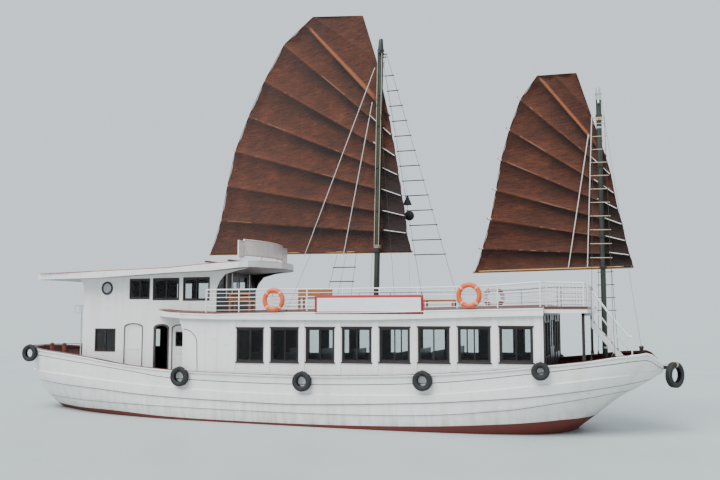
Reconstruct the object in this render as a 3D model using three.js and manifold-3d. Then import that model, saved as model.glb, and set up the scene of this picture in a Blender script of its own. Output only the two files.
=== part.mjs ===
// A two-masted wooden day-cruise boat with junk sails, afloat and whole below the water.
// Millimetres: +X to the bow, +Y to port, +Z up, Z = 0 at the waterline, X = 0 amidships.

import * as THREE from 'three';
import { mergeVertices } from 'three/addons/utils/BufferGeometryUtils.js';
import Module from 'manifold-3d';

const wasm = await Module();
wasm.setup();

// Driving dimensions
const GAP = 0.3; // between pieces that touch
const CLEAR = 5; // round pieces that move
const DECK = 60; // main deck planks
const BULWARK = 100; // side strakes above the deck
const CAP = { height: 60, outside: 30, inside: 220, scarfs: [-4000, 7400] };
const WALE_PROUD = 50;
const KEEL = { half: 90, bottom: -1200, sole: -1140, aft: -8750, inside: -300, heel: 300 };
const FOREFOOT = [[6150, KEEL.bottom], [6700, -1050], [7350, -560], [7350, KEEL.inside]];
const WALL = 60; // cabin walls
const SALOON = { aft: -4030, front: 7400, half: 2395 };
const HOUSE = { aft: -8660, front: -3360, half: 1460, floor: 3300 };
const SLAB = { lip: 50, margin: 140, under: 60 }; // upper deck
const EXTENSION = { start: 7405, front: 8580, half: 2300, bottom: 3420, top: 3600 };
const DOOR_SILL = 60;
const LEAF = 40; // door leaves
const PIN = { radius: 4.3, length: 120, sides: 8 }; // hinge pins, between leaf and jamb
const SIDES = { starboard: -1, port: 1 };

const COLOURS = {
  white: 0xe9e6df,
  brown: 0x5b3527,
  redBrown: 0x8a4a36,
  sail: 0x9c4a25,
  spar: 0x6b3f2a,
  mast: 0x20261f,
  rope: 0xb9a88c,
  rubber: 0x1c1c1d,
  bronze: 0x9a7a45,
  iron: 0x3a3d40,
  roof: 0xa78577,
};

// Hull: half breadth and height of the sheer, height of the keel line, fullness and roundness
// of the section, height of the main deck
const HULL = [
  // x, half, sheer, keel, fullness, roundness, deck
  [-11600, 620, 2200, 1450, 2.0, 1.6, 1560],
  [-11300, 1000, 2180, 740, 2.0, 1.5, 1545],
  [-10900, 1300, 2150, 300, 2.1, 1.5, 1520],
  [-10300, 1600, 2105, -100, 2.2, 1.5, 1490],
  [-9500, 1880, 2060, -320, 2.5, 1.5, 1445],
  [-8000, 2180, 1930, -570, 3.2, 1.7, 1360],
  [-6000, 2380, 1690, -740, 4.2, 1.9, 1255],
  [-4000, 2480, 1575, -830, 5.0, 2.0, 1150],
  [-2000, 2520, 1540, -870, 5.0, 2.0, 1120],
  [0, 2550, 1530, -880, 5.0, 2.0, 1120],
  [2000, 2550, 1575, -870, 5.0, 2.0, 1140],
  [4000, 2520, 1665, -850, 4.6, 1.9, 1200],
  [6000, 2470, 1820, -740, 3.6, 1.8, 1375],
  [7400, 2380, 1975, -450, 2.8, 1.75, 1535],
  [8500, 2120, 2095, 330, 2.4, 1.75, 1690],
  [9300, 1800, 2220, 960, 2.3, 1.75, 1785],
  [9900, 1380, 2275, 1310, 2.2, 1.7, 1835],
  [10120, 1170, 2300, 1450, 2.0, 1.6, 1850],
  [10300, 950, 2190, 1570, 1.8, 1.5, 1862],
  [10520, 560, 1900, 1720, 1.6, 1.4, 1862],
];
const STATIONS = [
  -11600, -11500, -11300, -10900, -10300, -9500, -8800, -8000, -7000, -6000, -5000, -4000,
  -2700, -1350, 0, 1350, 2700, 4000, 5000, 6000, 6700, 7400, 8000, 8500, 9000, 9300, 9600, 9900,
  10120, 10300, 10400, 10520,
];
const CLOSED_ENDS = [-11500, 10400]; // the bulwarks meet on the centreline beyond these
const HULL_LEVELS = [0.07, 0.2, 0.38, 0.66, 1];

// Wale: the proud band along the topsides
const WALE = [
  // x, top, bottom
  [-11300, 1400, 1050],
  [-10470, 1360, 1020],
  [-9140, 1310, 960],
  [-7420, 1210, 890],
  [-5970, 1120, 800],
  [-4320, 1040, 730],
  [-2200, 980, 690],
  [120, 980, 680],
  [3920, 1090, 850],
  [5640, 1240, 980],
  [6920, 1400, 1100],
  [7800, 1500, 1210],
  [8820, 1630, 1340],
  [9900, 1735, 1490],
];

// Upper deck: half breadth, height of its edge, foot of its fascia
const UPPER = [
  // x, half, top, bottom
  [-5520, 1475, 3550, 3330],
  [-5350, 1800, 3530, 3325],
  [-5120, 2060, 3505, 3315],
  [-4800, 2300, 3465, 3300],
  [-4500, 2420, 3440, 3280],
  [-4100, 2490, 3425, 3250],
  [-3600, 2500, 3405, 3235],
  [-2800, 2500, 3390, 3220],
  [130, 2500, 3450, 3210],
  [2070, 2500, 3460, 3210],
  [4000, 2500, 3495, 3260],
  [5670, 2500, 3530, 3310],
  [7420, 2500, 3560, 3350],
];

// Wheelhouse roof: half breadth, underside, edge
const ROOF = [
  // x, half, low, top
  [-10400, 1700, 4600, 4790],
  [-10300, 1900, 4602, 4793],
  [-7800, 1950, 4630, 4855],
  [-4900, 1950, 4765, 4925],
  [-4000, 1950, 4790, 4995],
  [-3300, 1950, 4810, 5040],
  [-2300, 1950, 4891, 5086],
  [-2020, 1800, 4913, 5100],
  [-1860, 1480, 4920, 5105],
  [-1670, 1000, 4915, 5100],
  [-1430, 450, 4910, 5095],
];
const ROOF_CAMBER = 100;

// Straight lines through the rows of a table
function linear(rows, column) {
  return (x) => {
    let i = 1;
    while (i < rows.length - 1 && x > rows[i][0]) i += 1;
    const [a, b] = [rows[i - 1], rows[i]];
    return a[column] + ((b[column] - a[column]) * (x - a[0])) / (b[0] - a[0]);
  };
}

// A smooth curve through the rows of a table
function smooth(rows, column) {
  const slope = (i) => {
    const a = rows[Math.max(i - 1, 0)];
    const b = rows[Math.min(i + 1, rows.length - 1)];
    return (b[column] - a[column]) / (b[0] - a[0]);
  };
  return (x) => {
    let i = 1;
    while (i < rows.length - 1 && x > rows[i][0]) i += 1;
    const [a, b] = [rows[i - 1], rows[i]];
    const width = b[0] - a[0];
    const t = THREE.MathUtils.clamp((x - a[0]) / width, 0, 1);
    const rise = b[column] - a[column];
    const lead = slope(i - 1) * width - rise;
    const trail = rise - slope(i) * width;
    return a[column] + t * rise + t * (1 - t) * (lead * (1 - t) + trail * t);
  };
}

// Straight lines between the hull's stations, as the lofted solids have them
function planked(curve) {
  return linear(
    STATIONS.map((x) => [x, curve(x)]),
    1,
  );
}

const sheerHalf = smooth(HULL, 1);
const sheerZ = smooth(HULL, 2);
const keelZ = smooth(HULL, 3);
const fullness = smooth(HULL, 4);
const roundness = smooth(HULL, 5);
const deckZ = smooth(HULL, 6);
const hullTop = (x) => deckZ(x) - DECK - GAP;

// Half breadth of the hull's outside at a height
function sideHalf(x, z) {
  const t = THREE.MathUtils.clamp((z - keelZ(x)) / (sheerZ(x) - keelZ(x)), 0, 1);
  return sheerHalf(x) * (1 - (1 - t) ** fullness(x)) ** (1 / roundness(x));
}

const deckTop = planked(deckZ);
const capTop = planked(sheerZ);
const capOutside = planked((x) => sheerHalf(x) + CAP.outside);
const bulwarkFoot = planked((x) => sideHalf(x, hullTop(x) + GAP) - BULWARK);
const upperTop = linear(UPPER, 2);
const upperUnder = (x) => upperTop(x) - SLAB.under;
const roofLow = linear(ROOF, 2);
const roofTop = linear(ROOF, 3);

// Geometry to solid and back
function solidFrom(geometry) {
  geometry.deleteAttribute('normal');
  geometry.deleteAttribute('uv');
  const merged = mergeVertices(geometry, 0.001);
  const mesh = new wasm.Mesh({
    numProp: 3,
    vertProperties: merged.attributes.position.array,
    triVerts: new Uint32Array(merged.index.array),
  });
  return new wasm.Manifold(mesh);
}

function geometryFrom(solid) {
  const { vertProperties, triVerts } = solid.getMesh();
  const geometry = new THREE.BufferGeometry();
  geometry.setAttribute('position', new THREE.BufferAttribute(vertProperties, 3));
  geometry.setIndex(new THREE.BufferAttribute(triVerts, 1));
  geometry.computeVertexNormals();
  return geometry;
}

const join = (solids) => solids.reduce((all, solid) => all.add(solid));

// Rings of equal point count, anticlockwise about the way they run, capped at both ends
function skin(rings, firstCap, lastCap) {
  const count = rings[0].length;
  const index = [];
  for (let i = 0; i < rings.length - 1; i += 1) {
    for (let j = 0; j < count; j += 1) {
      const a = i * count + j;
      const b = i * count + ((j + 1) % count);
      index.push(a, b, a + count, b, b + count, a + count);
    }
  }
  const last = (rings.length - 1) * count;
  for (const [a, b, c] of firstCap) index.push(c, b, a);
  for (const [a, b, c] of lastCap) index.push(last + a, last + b, last + c);
  const geometry = new THREE.BufferGeometry();
  geometry.setAttribute('position', new THREE.Float32BufferAttribute(rings.flat(2), 3));
  geometry.setIndex(index);
  return solidFrom(geometry);
}

const flatCap = (ring) =>
  THREE.ShapeUtils.triangulateShape(
    ring.map(([a, b]) => new THREE.Vector2(a, b)),
    [],
  );
const fanCap = (count) => Array.from({ length: count - 2 }, (_, i) => [0, i + 1, i + 2]);

// A body along X from rings of [y, z] points, anticlockwise seen from the bow
function loft(xs, ringAt) {
  const rings = xs.map(ringAt);
  return skin(
    rings.map((ring, i) => ring.map(([y, z]) => [xs[i], y, z])),
    flatCap(rings[0]),
    flatCap(rings.at(-1)),
  );
}

// A straight bar with flat sides at the given radius
function rod(from, to, radius, sides = 6) {
  const start = new THREE.Vector3(...from);
  const end = new THREE.Vector3(...to);
  const along = end.clone().sub(start).normalize();
  const level = Math.abs(along.z) > 0.99 ? new THREE.Vector3(0, 1, 0) : new THREE.Vector3(0, 0, 1);
  const u = level.cross(along).normalize();
  const v = along.clone().cross(u);
  const reach = radius / Math.cos(Math.PI / sides);
  const ringAt = (centre) =>
    Array.from({ length: sides }, (_, i) => {
      const angle = (Math.PI * (2 * i + 1)) / sides;
      return centre
        .clone()
        .addScaledVector(u, reach * Math.cos(angle))
        .addScaledVector(v, reach * Math.sin(angle))
        .toArray();
    });
  return skin([ringAt(start), ringAt(end)], fanCap(sides), fanCap(sides));
}

// A run of bars through points
function run(points, radius, sides) {
  return join(points.slice(1).map((point, i) => rod(points[i], point, radius, sides)));
}

// An upright round body with level rings, from rows of [x, y, z, radius]
function spindle(rows, sides = 12, turn = 0) {
  const ringAt = ([x, y, z, radius]) =>
    Array.from({ length: sides }, (_, i) => {
      const angle = turn + (Math.PI * (2 * i + 1)) / sides;
      const reach = radius / Math.cos(Math.PI / sides);
      return [x + reach * Math.cos(angle), y + reach * Math.sin(angle), z];
    });
  return skin(rows.map(ringAt), fanCap(sides), fanCap(sides));
}

function block(x0, x1, y0, y1, z0, z1) {
  const geometry = new THREE.BoxGeometry(x1 - x0, y1 - y0, z1 - z0);
  return solidFrom(geometry.translate((x0 + x1) / 2, (y0 + y1) / 2, (z0 + z1) / 2));
}

function extrusion(points, depth) {
  const shape = new THREE.Shape(points.map(([a, b]) => new THREE.Vector2(a, b)));
  return new THREE.ExtrudeGeometry(shape, { depth, bevelEnabled: false, steps: 1 });
}

const cut = (solid, tools) => tools.reduce((left, tool) => left.subtract(tool), solid);

// Plates from outlines: [x, z] between two y, [y, z] between two x, [x, y] between two z
function sidePlate(points, y0, y1, holes = []) {
  const geometry = extrusion(points, y1 - y0).rotateX(Math.PI / 2);
  const tools = holes.map((hole) => sidePlate(hole, y0 - 1, y1 + 1));
  return cut(solidFrom(geometry.translate(0, y1, 0)), tools);
}

const CROSSWAYS = new THREE.Matrix4().makeBasis(
  new THREE.Vector3(0, 1, 0),
  new THREE.Vector3(0, 0, 1),
  new THREE.Vector3(1, 0, 0),
);

function crossPlate(points, x0, x1, holes = []) {
  const geometry = extrusion(points, x1 - x0).applyMatrix4(CROSSWAYS);
  const tools = holes.map((hole) => crossPlate(hole, x0 - 1, x1 + 1));
  return cut(solidFrom(geometry.translate(x0, 0, 0)), tools);
}

function floorPlate(points, z0, z1) {
  return solidFrom(extrusion(points, z1 - z0).translate(0, 0, z0));
}

// A side plate at one hand of the boat, given by distances from the centreline
function handPlate(side, points, inner, outer, holes = []) {
  return sidePlate(points, Math.min(side * inner, side * outer), Math.max(side * inner, side * outer), holes);
}

const rectangle = (a0, a1, b0, b1) => [
  [a0, b0],
  [a1, b0],
  [a1, b1],
  [a0, b1],
];

// A doorway with a low arched head
function arched(a0, a1, b0, b1, rise = 130) {
  const middle = (a0 + a1) / 2;
  const half = (a1 - a0) / 2;
  const head = Array.from({ length: 7 }, (_, i) => {
    const angle = (Math.PI * i) / 6;
    return [middle + half * Math.cos(angle), b1 - rise + rise * Math.sin(angle)];
  });
  return [[a0, b0], [a1, b0], ...head];
}

// Points along a curve between two x, with the bends of its own rows kept
function edge(curve, bends, x0, x1, lift = 0) {
  const inside = bends.filter((x) => x > x0 + 1 && x < x1 - 1);
  return [x0, ...inside, x1].map((x) => [x, curve(x) + lift]);
}

const mirrored = (ring) => ring.map(([y, z]) => [-y, z]).reverse();
const handed = (side, ring) => (side > 0 ? ring : mirrored(ring));
const xsOf = (rows) => rows.map(([x]) => x);

const boat = new THREE.Group();

function place(name, solid, colour, roughness = 0.6, metalness = 0, parent = boat) {
  const material = new THREE.MeshStandardMaterial({ color: COLOURS[colour], roughness, metalness });
  const mesh = new THREE.Mesh(geometryFrom(solid), material);
  mesh.name = name;
  parent.add(mesh);
}

// Hull with wale, keel, sole piece, engine pocket, shaft hole and rudder trunk
const SHAFT = { x: KEEL.aft, z: -780, radius: 35, length: 600 };
const RUDDER = { x: -9750, radius: 45, trunk: -700, top: 100, foot: -900, thickness: 60 };
const ENGINE = { x0: -6900, x1: -5300, half: 450, z0: -430, height: 1000, room: 150, above: 1200 };

function hullRing(x) {
  const keel = keelZ(x);
  const side = HULL_LEVELS.map((level) => {
    const z = keel + (hullTop(x) - keel) * level;
    return [sideHalf(x, z), z];
  });
  return [[0, keel], ...side, ...mirrored(side)];
}

const waleTop = linear(WALE, 1);
const waleFoot = linear(WALE, 2);

function waleRing(x) {
  const [top, foot] = [waleTop(x), waleFoot(x)];
  const [above, below] = [sideHalf(x, top), sideHalf(x, foot)];
  return [
    [below - WALE_PROUD, foot],
    [below + WALE_PROUD, foot],
    [above + WALE_PROUD, top],
    [above - WALE_PROUD, top],
  ];
}

function hull() {
  const waleXs = STATIONS.filter((x) => x >= WALE[0][0] && x <= WALE.at(-1)[0]);
  const wales = Object.values(SIDES).map((side) => loft(waleXs, (x) => handed(side, waleRing(x))));
  const keel = sidePlate(
    [
      [RUDDER.x - KEEL.heel, KEEL.bottom],
      ...FOREFOOT,
      [KEEL.aft, KEEL.inside],
      [KEEL.aft, KEEL.sole],
      [RUDDER.x - KEEL.heel, KEEL.sole],
    ],
    -KEEL.half,
    KEEL.half,
  );
  const { x0, x1, half, z0, height, room, above } = ENGINE;
  const top = z0 + height + above;
  const pocket = block(x0 - room, x1 + room, -half - room, half + room, z0 - GAP, top);
  const tube = rod(
    [SHAFT.x - 10, 0, SHAFT.z],
    [SHAFT.x + SHAFT.length + CLEAR, 0, SHAFT.z],
    SHAFT.radius + CLEAR,
    12,
  );
  const trunk = spindle([
    [RUDDER.x, 0, RUDDER.trunk, RUDDER.radius + CLEAR],
    [RUDDER.x, 0, RUDDER.top + CLEAR, RUDDER.radius + CLEAR],
  ]);
  return cut(join([loft(STATIONS, hullRing), ...wales, keel]), [pocket, tube, trunk]);
}

// Bulwarks and their cap rails, which close to the centreline at both ends
const isClosed = (x) => x <= CLOSED_ENDS[0] || x >= CLOSED_ENDS[1];

function bulwarkRing(x) {
  const foot = hullTop(x) + GAP;
  const head = sheerZ(x) - CAP.height;
  const outer = [0, 0.5, 1].map((level) => {
    const z = foot + (head - foot) * level;
    return [sideHalf(x, z), z];
  });
  const inner = (half) => (isClosed(x) ? GAP / 2 : half - BULWARK);
  return [...outer, [inner(outer[2][0]), head], [inner(outer[0][0]), foot]];
}

function capRing(x) {
  const outer = sheerHalf(x) + CAP.outside;
  const inner = isClosed(x) ? 0 : sheerHalf(x) - CAP.inside;
  return rectangle(inner, outer, sheerZ(x) - CAP.height + GAP, sheerZ(x));
}

// The cap rails meet at both ends, and run along the saloon between them
const CAP_STERN = STATIONS.filter((x) => x <= CAP.scarfs[0]);
const CAP_MIDDLE = STATIONS.filter((x) => x >= CAP.scarfs[0] && x <= CAP.scarfs[1]);
const CAP_BOW = STATIONS.filter((x) => x >= CAP.scarfs[1]);

function capRail(stations, side) {
  const xs = stations.map((x, i) => (i === 0 && x > STATIONS[0] ? x + GAP : x));
  return loft(xs, (x) => handed(side, capRing(x)));
}

const capEnd = (stations) => join(Object.values(SIDES).map((side) => capRail(stations, side)));

// The main deck in four stretches, parted under the saloon's ends and where the sheer bends
const DECK_PARTS = {
  deck_aft: [-11290, SALOON.aft],
  deck_saloon_aft: [SALOON.aft, 3000],
  deck_saloon_forward: [3000, SALOON.front],
  deck_forward: [SALOON.front, 10290],
};

function deckPart([aft, front]) {
  const inside = STATIONS.filter((x) => x > aft + 100 && x < front - 80);
  return loft([aft + GAP, ...inside, front], (x) => {
    const half = bulwarkFoot(x) - CLEAR;
    return rectangle(-half, half, deckTop(x) - DECK, deckTop(x));
  });
}

function mainEngine() {
  const { x0, x1, half, z0, height } = ENGINE;
  return block(x0, x1, -half, half, z0, z0 + height);
}

// Propeller: hub against the keel's aft face, four blades and the shaft in its tube
function propeller() {
  const hub = rod([SHAFT.x - 260, 0, SHAFT.z], [SHAFT.x - GAP, 0, SHAFT.z], 80, 12);
  const shaft = rod([SHAFT.x - 100, 0, SHAFT.z], [SHAFT.x + SHAFT.length, 0, SHAFT.z], SHAFT.radius, 12);
  const blades = [0, 1, 2, 3].map((i) => {
    const blade = new THREE.BoxGeometry(28, 210, 260);
    blade.rotateZ(THREE.MathUtils.degToRad(28)).translate(0, 0, 190);
    blade.rotateX((i * Math.PI) / 2).translate(SHAFT.x - 130, 0, SHAFT.z);
    return solidFrom(blade);
  });
  return join([hub, shaft, ...blades]);
}

const RUDDER_BLADE = [
  // x from the stock, z
  [-420, KEEL.sole + GAP],
  [170, KEEL.sole + GAP],
  [170, -480],
  [60, -420],
  [-300, -420],
  [-430, -520],
];

function rudder() {
  const { x, radius, foot, top, thickness } = RUDDER;
  const blade = RUDDER_BLADE.map(([reach, z]) => [x + reach, z]);
  const stock = spindle([
    [x, 0, foot, radius],
    [x, 0, top, radius],
  ]);
  return sidePlate(blade, -thickness / 2, thickness / 2).add(stock);
}

// Fender tyres, hung on a line along each side
const FENDERS = [
  // x, z, radius
  [-3990, 1400, 310],
  [280, 1370, 300],
  [4010, 1490, 290],
  [7320, 1830, 250],
];
const TYRE_WIDTH = 180;
const TYRE_WALL = 150; // tread to bead
const LINE = { radius: 12, below: 70 }; // the line through the tyres, under their tops
// One tyre on each quarter; its shoulder leans on the cap rail at the reach, a line goes round the stern
const QUARTER_TYRE = { x: -10840, z: 1980, radius: 300, reach: 217, around: 30 };
const BOW_TYRE = { ahead: 320, z: 1640, radius: 370, width: 200, turn: 35, beam: [1800, 1900], half: 40 };

function tyreGeometry(radius, width = TYRE_WIDTH) {
  const half = width / 2;
  const inner = radius - TYRE_WALL;
  const profile = [
    [inner, -half * 0.7],
    [radius - 60, -half],
    [radius, -half * 0.55],
    [radius, half * 0.55],
    [radius - 60, half],
    [inner, half * 0.7],
    [inner, -half * 0.7],
  ];
  return new THREE.LatheGeometry(
    profile.map(([a, b]) => new THREE.Vector2(a, b)),
    12,
  );
}

// Distance from the centreline of a tyre that hangs against the cap rail
function tyreSeat(x, radius) {
  const span = [x - radius, ...STATIONS.filter((at) => Math.abs(at - x) < radius), x + radius];
  return Math.max(...span.map(capOutside)) + GAP + TYRE_WIDTH / 2;
}

function sideTyres(side) {
  const seats = FENDERS.map(([x, z, radius]) => [x, side * tyreSeat(x, radius), z, radius]);
  const tyres = seats.map(([x, y, z, radius]) => solidFrom(tyreGeometry(radius).translate(x, y, z)));
  const line = run(
    seats.map(([x, y, z, radius]) => [x, y, z + radius - LINE.below]),
    LINE.radius,
    4,
  );
  return join([...tyres, line]);
}

function sternTyres() {
  const { x, z, radius, reach, around } = QUARTER_TYRE;
  const y = tyreSeat(x, reach);
  const tyres = Object.values(SIDES).map((side) => solidFrom(tyreGeometry(radius).translate(x, side * y, z)));
  const corners = STATIONS.filter((at) => at < x - radius).map((at) => [at, capOutside(at) + around]);
  corners[0][0] -= around;
  const bends = [...corners, [x, y]].map(([at, out]) => [at, out, z + radius - LINE.below]);
  const starboard = bends.map(([at, out, height]) => [at, -out, height]);
  return join([...tyres, run([...starboard.reverse(), ...bends], LINE.radius, 4)]);
}

function bowTyre() {
  const { ahead, z, radius, width, turn, beam, half } = BOW_TYRE;
  const x = STATIONS.at(-1) + ahead;
  const tyre = tyreGeometry(radius, width).rotateZ(Math.PI / 2 - THREE.MathUtils.degToRad(turn));
  const bracket = block(STATIONS.at(-1) + GAP, x, -half, half, ...beam);
  return solidFrom(tyre.translate(x, 0, z)).add(bracket);
}

// Bollards aft with their cross bar, and the windlass forward
const BITTS = { posts: [-10530, -9980], y: -800, half: 60, top: 2330, bar: [1800, 1900], barHalf: 40 };
const WINDLASS = { x: 9250, y: 420, half: 120, cheeks: [-260, 200], cheek: 60, height: 470, drum: 230 };
WINDLASS.barrel = { height: 300, radius: 150 };

function sternBitts() {
  const { posts, y, half, top, bar, barHalf } = BITTS;
  const foot = deckTop(posts[0] - half) + GAP;
  const uprights = posts.map((x) => block(x - half, x + half, y - half, y + half, foot, top));
  return join([...uprights, block(...posts, y - barHalf, y + barHalf, ...bar)]);
}

function windlass() {
  const { x, y, half, cheeks, cheek, height, drum, barrel } = WINDLASS;
  const foot = deckTop(x + half) + GAP;
  const plates = cheeks.map((at) => block(x - half, x + half, y + at, y + at + cheek, foot, foot + height));
  const axle = foot + barrel.height;
  return join([...plates, rod([x, y - drum, axle], [x, y + drum, axle], barrel.radius, 12)]);
}

// Saloon sides with eight windows each, standing on the cap rails
const WINDOWS = { first: -2080, pitch: 1180, count: 8, width: 940 };
const SASH = 45;

const saloonWindows = Array.from({ length: WINDOWS.count }, (_, i) => {
  const x = WINDOWS.first + WINDOWS.pitch * i;
  const middle = x + WINDOWS.width / 2;
  const sill = 1885 + 0.0175 * (middle + 1500);
  const head = 2955 + 0.0105 * (middle + 2000);
  return { x0: x, x1: x + WINDOWS.width, sill, head };
});

function saloonSide(side) {
  const { aft, front, half } = SALOON;
  const bracket = -4250;
  const outline = [
    ...edge(capTop, STATIONS, aft, front, GAP),
    ...edge(upperUnder, xsOf(UPPER), bracket, front, -GAP).reverse(),
    [-4160, 3180],
    [-4080, 2980],
    [aft, 2750],
  ];
  const holes = saloonWindows.map(({ x0, x1, sill, head }) => rectangle(x0, x1, sill, head));
  return handPlate(side, outline, half - WALL, half, holes);
}

// One row of window frames with panes, joined inside the wall by a rail under the sills
function windowRow(side, openings, half, wall) {
  const frames = openings.flatMap(({ x0, x1, sill, head }) => {
    const middle = (x0 + x1) / 2;
    const outline = rectangle(x0 + 1, x1 - 1, sill + 1, head - 1);
    const lights = [
      rectangle(x0 + SASH, middle - SASH / 2, sill + SASH, head - SASH),
      rectangle(middle + SASH / 2, x1 - SASH, sill + SASH, head - SASH),
    ];
    const pane = rectangle(x0 + SASH / 2, x1 - SASH / 2, sill + SASH / 2, head - SASH / 2);
    return [
      handPlate(side, outline, half - wall - 25, half - 10, lights),
      handPlate(side, pane, half - 44, half - 36),
    ];
  });
  const [first, last] = [openings[0], openings.at(-1)];
  const rail = [
    [first.x0, first.sill - 80],
    [last.x1, last.sill - 80],
    [last.x1, last.sill + 20],
    [first.x0, first.sill + 20],
  ];
  return join([...frames, handPlate(side, rail, half - wall - 40, half - wall - GAP)]);
}

// Saloon front between the sides: a step over the cap rails, a doorway and four lights
const FRONT_DOOR = { half: 700, foot: 1655, head: 3310 };

function saloonFront() {
  const x0 = SALOON.front - WALL;
  const inner = SALOON.half - WALL - GAP;
  const foot = deckTop(SALOON.front) + GAP;
  const step = capTop(SALOON.front) + GAP;
  const low = sheerHalf(SALOON.front) - CAP.inside - 15;
  const under = upperUnder(x0) - GAP;
  const outline = [
    [-low, foot],
    [low, foot],
    [low, step],
    [inner, step],
    [inner, under],
    [2200, under],
    [0, under + 110],
    [-2200, under],
    [-inner, under],
    [-inner, step],
    [-low, step],
  ];
  const { half, foot: sill, head } = FRONT_DOOR;
  const lights = [
    [820, 1400],
    [1500, 2080],
  ].flatMap(([a, b]) => [rectangle(a, b, 2150, 3200), rectangle(-b, -a, 2150, 3200)]);
  return crossPlate(outline, x0, SALOON.front, [rectangle(-half, half, sill, head), ...lights]);
}

// Two pins of a leaf's hinges, on the line that it turns about
function hingePins(x, y, bottom, top) {
  const { radius, length, sides } = PIN;
  return [bottom + 180, top - 300 - length].map((z) => rod([x, y, z], [x, y, z + length], radius, sides));
}

function saloonDoor(side) {
  const { half, foot, head } = FRONT_DOOR;
  const [a, b] = [side * 3, side * (half - CLEAR)];
  const outline = rectangle(Math.min(a, b), Math.max(a, b), foot + CLEAR, head - CLEAR);
  const leaf = crossPlate(outline, SALOON.front - LEAF, SALOON.front);
  return join([leaf, ...hingePins(SALOON.front, b, foot, head)]);
}

function saloonBulkhead() {
  const [x0, x1] = [SALOON.aft, SALOON.aft + WALL];
  const inner = SALOON.half - WALL - GAP;
  const foot = deckTop(x0) + GAP;
  const step = capTop(x0) + GAP;
  const low = sheerHalf(x0) - CAP.inside - 15;
  const under = upperUnder(x1) - GAP;
  const centre = HOUSE.half + GAP;
  const outline = [
    [-low, foot],
    [low, foot],
    [low, step],
    [inner, step],
    [inner, under],
    [centre, under],
    [centre, HOUSE.floor - GAP],
    [-centre, HOUSE.floor - GAP],
    [-centre, under],
    [-inner, under],
    [-inner, step],
    [-low, step],
  ];
  return crossPlate(outline, x0, x1, [rectangle(-400, 400, foot + DOOR_SILL, 3050)]);
}

// Upper deck: a cambered slab with hanging fascias, open where the aft house stands
function upperRing(x) {
  const [half, top, foot] = [1, 2, 3].map((column) => linear(UPPER, column)(x));
  const under = top - SLAB.under;
  const right = [
    [half - SLAB.lip, foot],
    [half, foot],
    [half, top],
    [half - SLAB.margin, top],
    [half / 2, top + 85],
  ];
  return [
    [0, under + 110],
    [half - 300, under],
    [half - SLAB.lip, under],
    ...right,
    [0, top + 120],
    ...mirrored(right),
    [SLAB.lip - half, under],
    [300 - half, under],
  ];
}

// Masts: level rings on a straight line, from rows of heights and radii
const MAIN_MAST = { x: 1800, at: 5300, rake: 0.0205, radius: 95, foot: 1145, top: 12630 };
const FORE_MAST = { x: 8930, at: 0, rake: 0, radius: 78, foot: 1760, top: 10300 };

const mastX = (mast, z) => mast.x + (z - mast.at) * mast.rake;

function mastPart(mast, z0, z1, radius0, radius1 = radius0) {
  return spindle([
    [mastX(mast, z0), 0, z0, radius0],
    [mastX(mast, z1), 0, z1, radius1],
  ]);
}

function mastSolid(mast) {
  const shoulder = mast.top - 350;
  return spindle([
    [mastX(mast, mast.foot), 0, mast.foot, mast.radius],
    [mastX(mast, shoulder), 0, shoulder, mast.radius],
    [mastX(mast, mast.top), 0, mast.top, mast.radius * 0.7],
  ]);
}

// A close band round a mast
function band(mast, z, height = 60, wall = 22, slack = GAP) {
  const outer = mastPart(mast, z - height / 2, z + height / 2, mast.radius + slack + wall);
  return outer.subtract(mastPart(mast, z - height, z + height, mast.radius + slack));
}

function upperDeck() {
  const main = loft(xsOf(UPPER), upperRing);
  const { start, front, half, bottom, top } = EXTENSION;
  const forward = block(start, front, -half, half, bottom, top);
  const clearHouse = block(
    -7000,
    HOUSE.front + GAP,
    -HOUSE.half - GAP,
    HOUSE.half + GAP,
    3000,
    3900,
  );
  return cut(main.add(forward), [clearHouse, mastPart(MAIN_MAST, 3000, 3900, 110)]);
}

// Height of the upper deck's top at a point of its straight part
function upperSurface(x, y) {
  const across = [
    [0, 120],
    [1250, 85],
    [2360, 0],
    [2500, 0],
  ];
  return upperTop(x) + linear(across, 1)(Math.abs(y));
}

function foredeckFrame() {
  const [x0, x1, y0, y1] = [8410, 8490, 1990, 2070];
  const foot = capTop(x1) + GAP;
  const head = EXTENSION.bottom - GAP;
  const posts = [block(x0, x1, y0, y1, foot, head), block(x0, x1, -y1, -y0, foot, head)];
  return join([...posts, block(x0, x1, -y1, y1, head - 80, head)]);
}

// Aft house: sides with an arched door, an open doorway, an arched door and windows
const SIDE_DOORS = { aft: [-6910, -6210, 3040], open: [-5720, -5170, 3020], forward: [-5010, -4410, 3000] };
const doorFoot = (x) => deckTop(x) + DOOR_SILL;
const HOUSE_WINDOWS = [
  // x0, x1, sill, head
  [-8140, -7290, 2080, 2880],
  [-6760, -5940, 3890, 4600],
  [-5820, -4780, 3850, 4610],
  [-4630, -3610, 3830, 4620],
];

function houseSide(side) {
  const { aft, front, half, floor } = HOUSE;
  const outline = [
    ...edge(deckTop, STATIONS, aft, SALOON.aft - GAP, GAP),
    [SALOON.aft - GAP, floor],
    [front, floor],
    [front, 4210],
    [-3240, 4480],
    [-3040, 4700],
    [-2630, 4810],
    ...edge(roofLow, xsOf(ROOF), -8860, -2150, -GAP).reverse(),
    [-8720, 4480],
    [aft, 4300],
  ];
  const doors = Object.values(SIDE_DOORS).map(([x0, x1, head]) => arched(x0, x1, doorFoot(x0), head));
  const windows = HOUSE_WINDOWS.map(([x0, x1, sill, head]) => rectangle(x0, x1, sill, head));
  return handPlate(side, outline, half - WALL, half, [...doors, ...windows]);
}

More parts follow.
